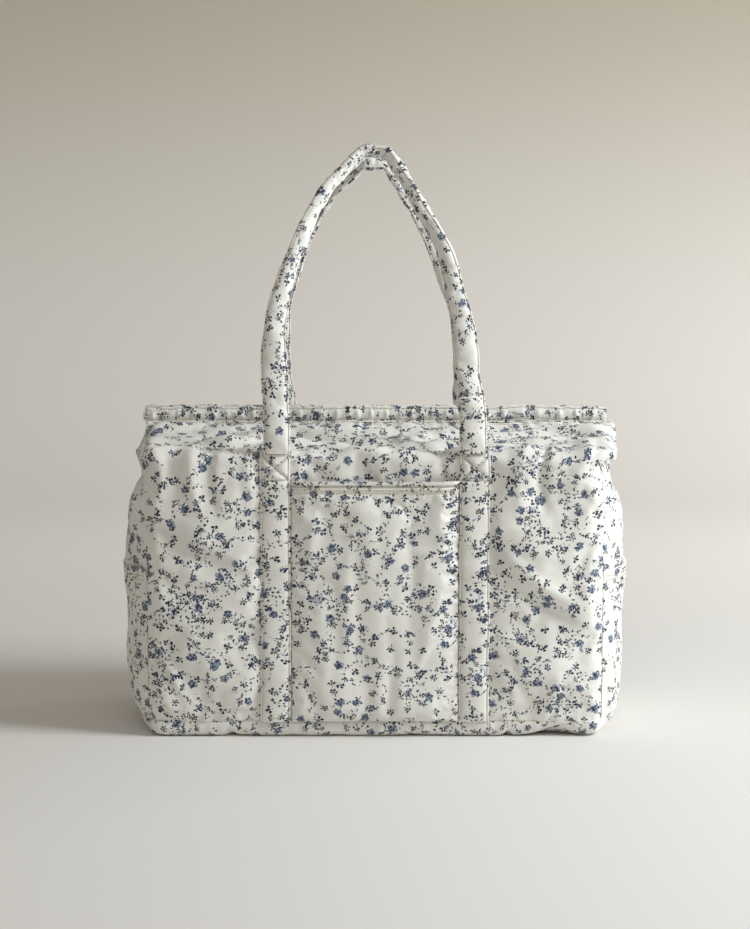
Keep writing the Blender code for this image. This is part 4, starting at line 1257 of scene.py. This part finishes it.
def make_coil(side, turn):
    """One side of the zip: the nylon loops that stand along the tape's inner edge."""
    pitch = 1.5 * MM
    count = int((COIL_HIGH.x - COIL_LOW.x) / pitch)
    phase = 0.0 if side == "front" else 0.5
    per_loop = 10
    steps = np.arange(count * per_loop + 1) / per_loop
    y_mid, z_mid = (COIL_LOW.y + COIL_HIGH.y) / 2, (COIL_LOW.z + COIL_HIGH.z) / 2
    half_y = (COIL_HIGH.y - COIL_LOW.y) / 2 - 0.25 * MM
    half_z = (COIL_HIGH.z - COIL_LOW.z) / 2 - 0.25 * MM
    angle = 2 * math.pi * (steps + phase)
    y, z = y_mid + half_y * np.cos(angle), z_mid + half_z * np.sin(angle)
    centre = np.column_stack([COIL_LOW.x + 0.5 * MM + steps * pitch, y, z])
    along = unit(np.gradient(centre, axis=0))
    out = np.column_stack([np.zeros(len(angle)), np.cos(angle), np.sin(angle)])
    side_way = np.cross(along, out)
    ring_angle = np.linspace(0, 2 * math.pi, 6, endpoint=False)
    rings = (
        centre[:, None]
        + 0.27 * MM * (out[:, None] * np.cos(ring_angle)[None, :, None])
        + 0.27 * MM * (side_way[:, None] * np.sin(ring_angle)[None, :, None])
    )
    cloth = flat_grid(np.linspace(0, 1.7 * MM, 7), steps * pitch)
    obj = sleeve_object(side + "_coil_loops", turn(rings), cloth, [NYLON])
    dress(obj, side + "_flap", [side + "_zip_coil"])


def finish_zip():
    """The zip's metal and tapes keep the CAD's own meshes, with materials and worn edges."""
    metal = ("front_top_stop", "back_top_stop", "zip_bottom_stop", "zip_slider", "zip_pull")
    for name in metal + ("front_zip_tape", "back_zip_tape"):
        obj = frame["nodes"][name]
        obj.data.materials.clear()
        obj.data.materials.append(METAL if name in metal else TAPE)
        if name in metal:
            bevel = obj.modifiers.new("worn_edges", "BEVEL")
            bevel.width = 0.18 * MM
            bevel.segments = 2
            bevel.limit_method = "ANGLE"


# Lining


def make_lining():
    low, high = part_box("lining")
    count = 260
    around, places, total = outline(high.x, high.y, 10 * MM, count)
    z = np.concatenate([[low.z + 0.5 * MM] * 3, np.linspace(low.z + 1 * MM, high.z, 56)])
    shrink = np.concatenate([[0.15, 0.6, 0.92], np.ones(56)])
    height = 1.8 * MM * waves(places[None], z[:, None], 45 * MM, 61) - 1.5 * MM
    height = height * smooth(high.z - z, 0, 20 * MM)[:, None] * (shrink == 1)[:, None]
    flat = around * shrink[:, None, None] + unit(around) * height[..., None]
    level = np.broadcast_to(z[:, None, None], (len(z), count, 1))
    points = np.concatenate([flat, level], axis=2)
    points = np.concatenate([points, points[:, :1]], axis=1)
    cloth = flat_grid(np.append(places, total), z)
    obj = grid_object("lining_cloth", points, cloth, [PLAIN])
    close_holes(obj, merged=0.01 * MM, below=low.z + 5 * MM)
    thick = obj.modifiers.new("ply", "SOLIDIFY")
    thick.thickness = 1 * MM
    dress(obj, "bag", ["lining"])


# The scene round the bag


def make_stage():
    """A floor that turns up into a backdrop, far behind the bag, with painted light and shade: lighter
    far back, darker and warmer towards the top.
    """
    g = Graph("paper_backdrop")
    place = g.node("TexCoord").outputs["Object"]
    tone = g.noise(place, 0.8, 2.0)
    floor = g.mix(tone, (0.735, 0.71, 0.68, 1.0), (0.775, 0.75, 0.72, 1.0))
    where = g.split(place)
    # Painted light: the paper is painted lighter further back, where the far floor should catch more
    # light.
    paper = g.mix(g.ramp(where[1], 0.2, 1.4), floor, (0.95, 0.925, 0.89, 1.0))
    # Painted shade: the backdrop is painted darker and warmer towards the top.
    colour = g.mix(g.ramp(where[2], 0.05, 1.35), paper, (0.55, 0.50, 0.40, 1.0))
    g.finish(colour, g.ramp(tone, 0.3, 0.7, 0.8, 0.9), Specular_IOR_Level=0.15)
    near, curve_at, radius, top = -5.0, 1.7, 1.7, 4.0
    turn = np.linspace(0, math.pi / 2, 24)
    y = np.concatenate([np.linspace(near, curve_at, 24)[:-1], curve_at + radius * np.sin(turn)])
    z = np.concatenate([np.zeros(23), radius * (1 - np.cos(turn))])
    y = np.append(y, [curve_at + radius] * 2)
    z = np.append(z, [(radius + top) / 2, top])
    x = np.linspace(-4, 4, 12)
    columns = [np.broadcast_to(x, (len(y), 12))]
    columns += [np.broadcast_to(value[:, None], (len(y), 12)) for value in (y, z)]
    points = np.stack(columns, axis=-1)
    grid_object("backdrop", points, points[..., :2], [g.material])


def area_light(name, place, aim, size, power, colour):
    light = bpy.data.lights.new(name, "AREA")
    light.shape = "RECTANGLE"
    light.size, light.size_y = size
    light.energy = power
    light.color = colour
    obj = placed(name, light)
    obj.location = place
    obj.rotation_euler = (Vector(aim) - Vector(place)).to_track_quat("-Z", "Y").to_euler()


def make_light():
    world = bpy.data.worlds.new("studio")
    bpy.context.scene.world = world
    world.use_nodes = True
    background = world.node_tree.nodes["Background"]
    background.inputs["Color"].default_value = (1.0, 0.95, 0.855, 1.0)
    background.inputs["Strength"].default_value = 0.34
    aim = (0.0, 0.0, 0.15)
    area_light("window", (1.95, -0.62, 1.35), aim, (0.8, 1.0), 58, (0.91, 0.965, 1.0))
    area_light("fill", (0.5, -2.9, 1.9), aim, (2.0, 1.5), 7, (0.96, 0.98, 1.0))
    area_light("wash", (2.4, 1.3, 0.6), (0.5, 3.0, 0.2), (1.4, 0.9), 26, (1.0, 1.0, 1.0))
    bpy.context.scene.view_settings.view_transform = "Standard"


def make_camera():
    camera = bpy.data.cameras.new("camera")
    obj = placed("camera", camera)
    bpy.context.scene.camera = obj
    pitch, distance, aim_z = math.radians(6.5), 2.2, 0.2782
    seen = 0.929  # what the picture's height spans at the front wall
    camera.sensor_width = 36.0
    camera.lens = camera.sensor_width * distance / seen
    obj.location = (0.0, -WALL_Y - distance * math.cos(pitch), aim_z + distance * math.sin(pitch))
    obj.rotation_euler = (math.pi / 2 - pitch, 0.0, 0.0)


def main():
    make_camera()
    make_light()
    make_stage()
    make_wall("front", same, 1, FRONT_FOLDS)
    make_wall("back", half_turned, 2, BACK_FOLDS)
    for side, turn, seed in (("right", same, 3), ("left", half_turned, 4)):
        make_gusset(side, turn, seed)
        make_side_pocket(side, turn, seed)
    make_base()
    make_front_pocket()
    for side, turn, seed, *sway in (
        ("front", same, 5, -5.5 * MM, (0.05, 0.05)),
        ("back", half_turned, 6, 8 * MM, (0.02, 0.28)),
    ):
        make_handle(side, turn, seed, *sway)
        hands = ("right", "left") if side == "front" else ("left", "right")
        for hand, sign in zip(hands, (1, -1)):
            name = f"{side}_strap_{hand}"
            make_sewn_strap(name + "_cloth", name, sign, turn, seed + sign)
        make_band(side, turn, seed)
        make_piping(side, turn)
        make_coil(side, turn)
    make_lining()
    finish_zip()


main()
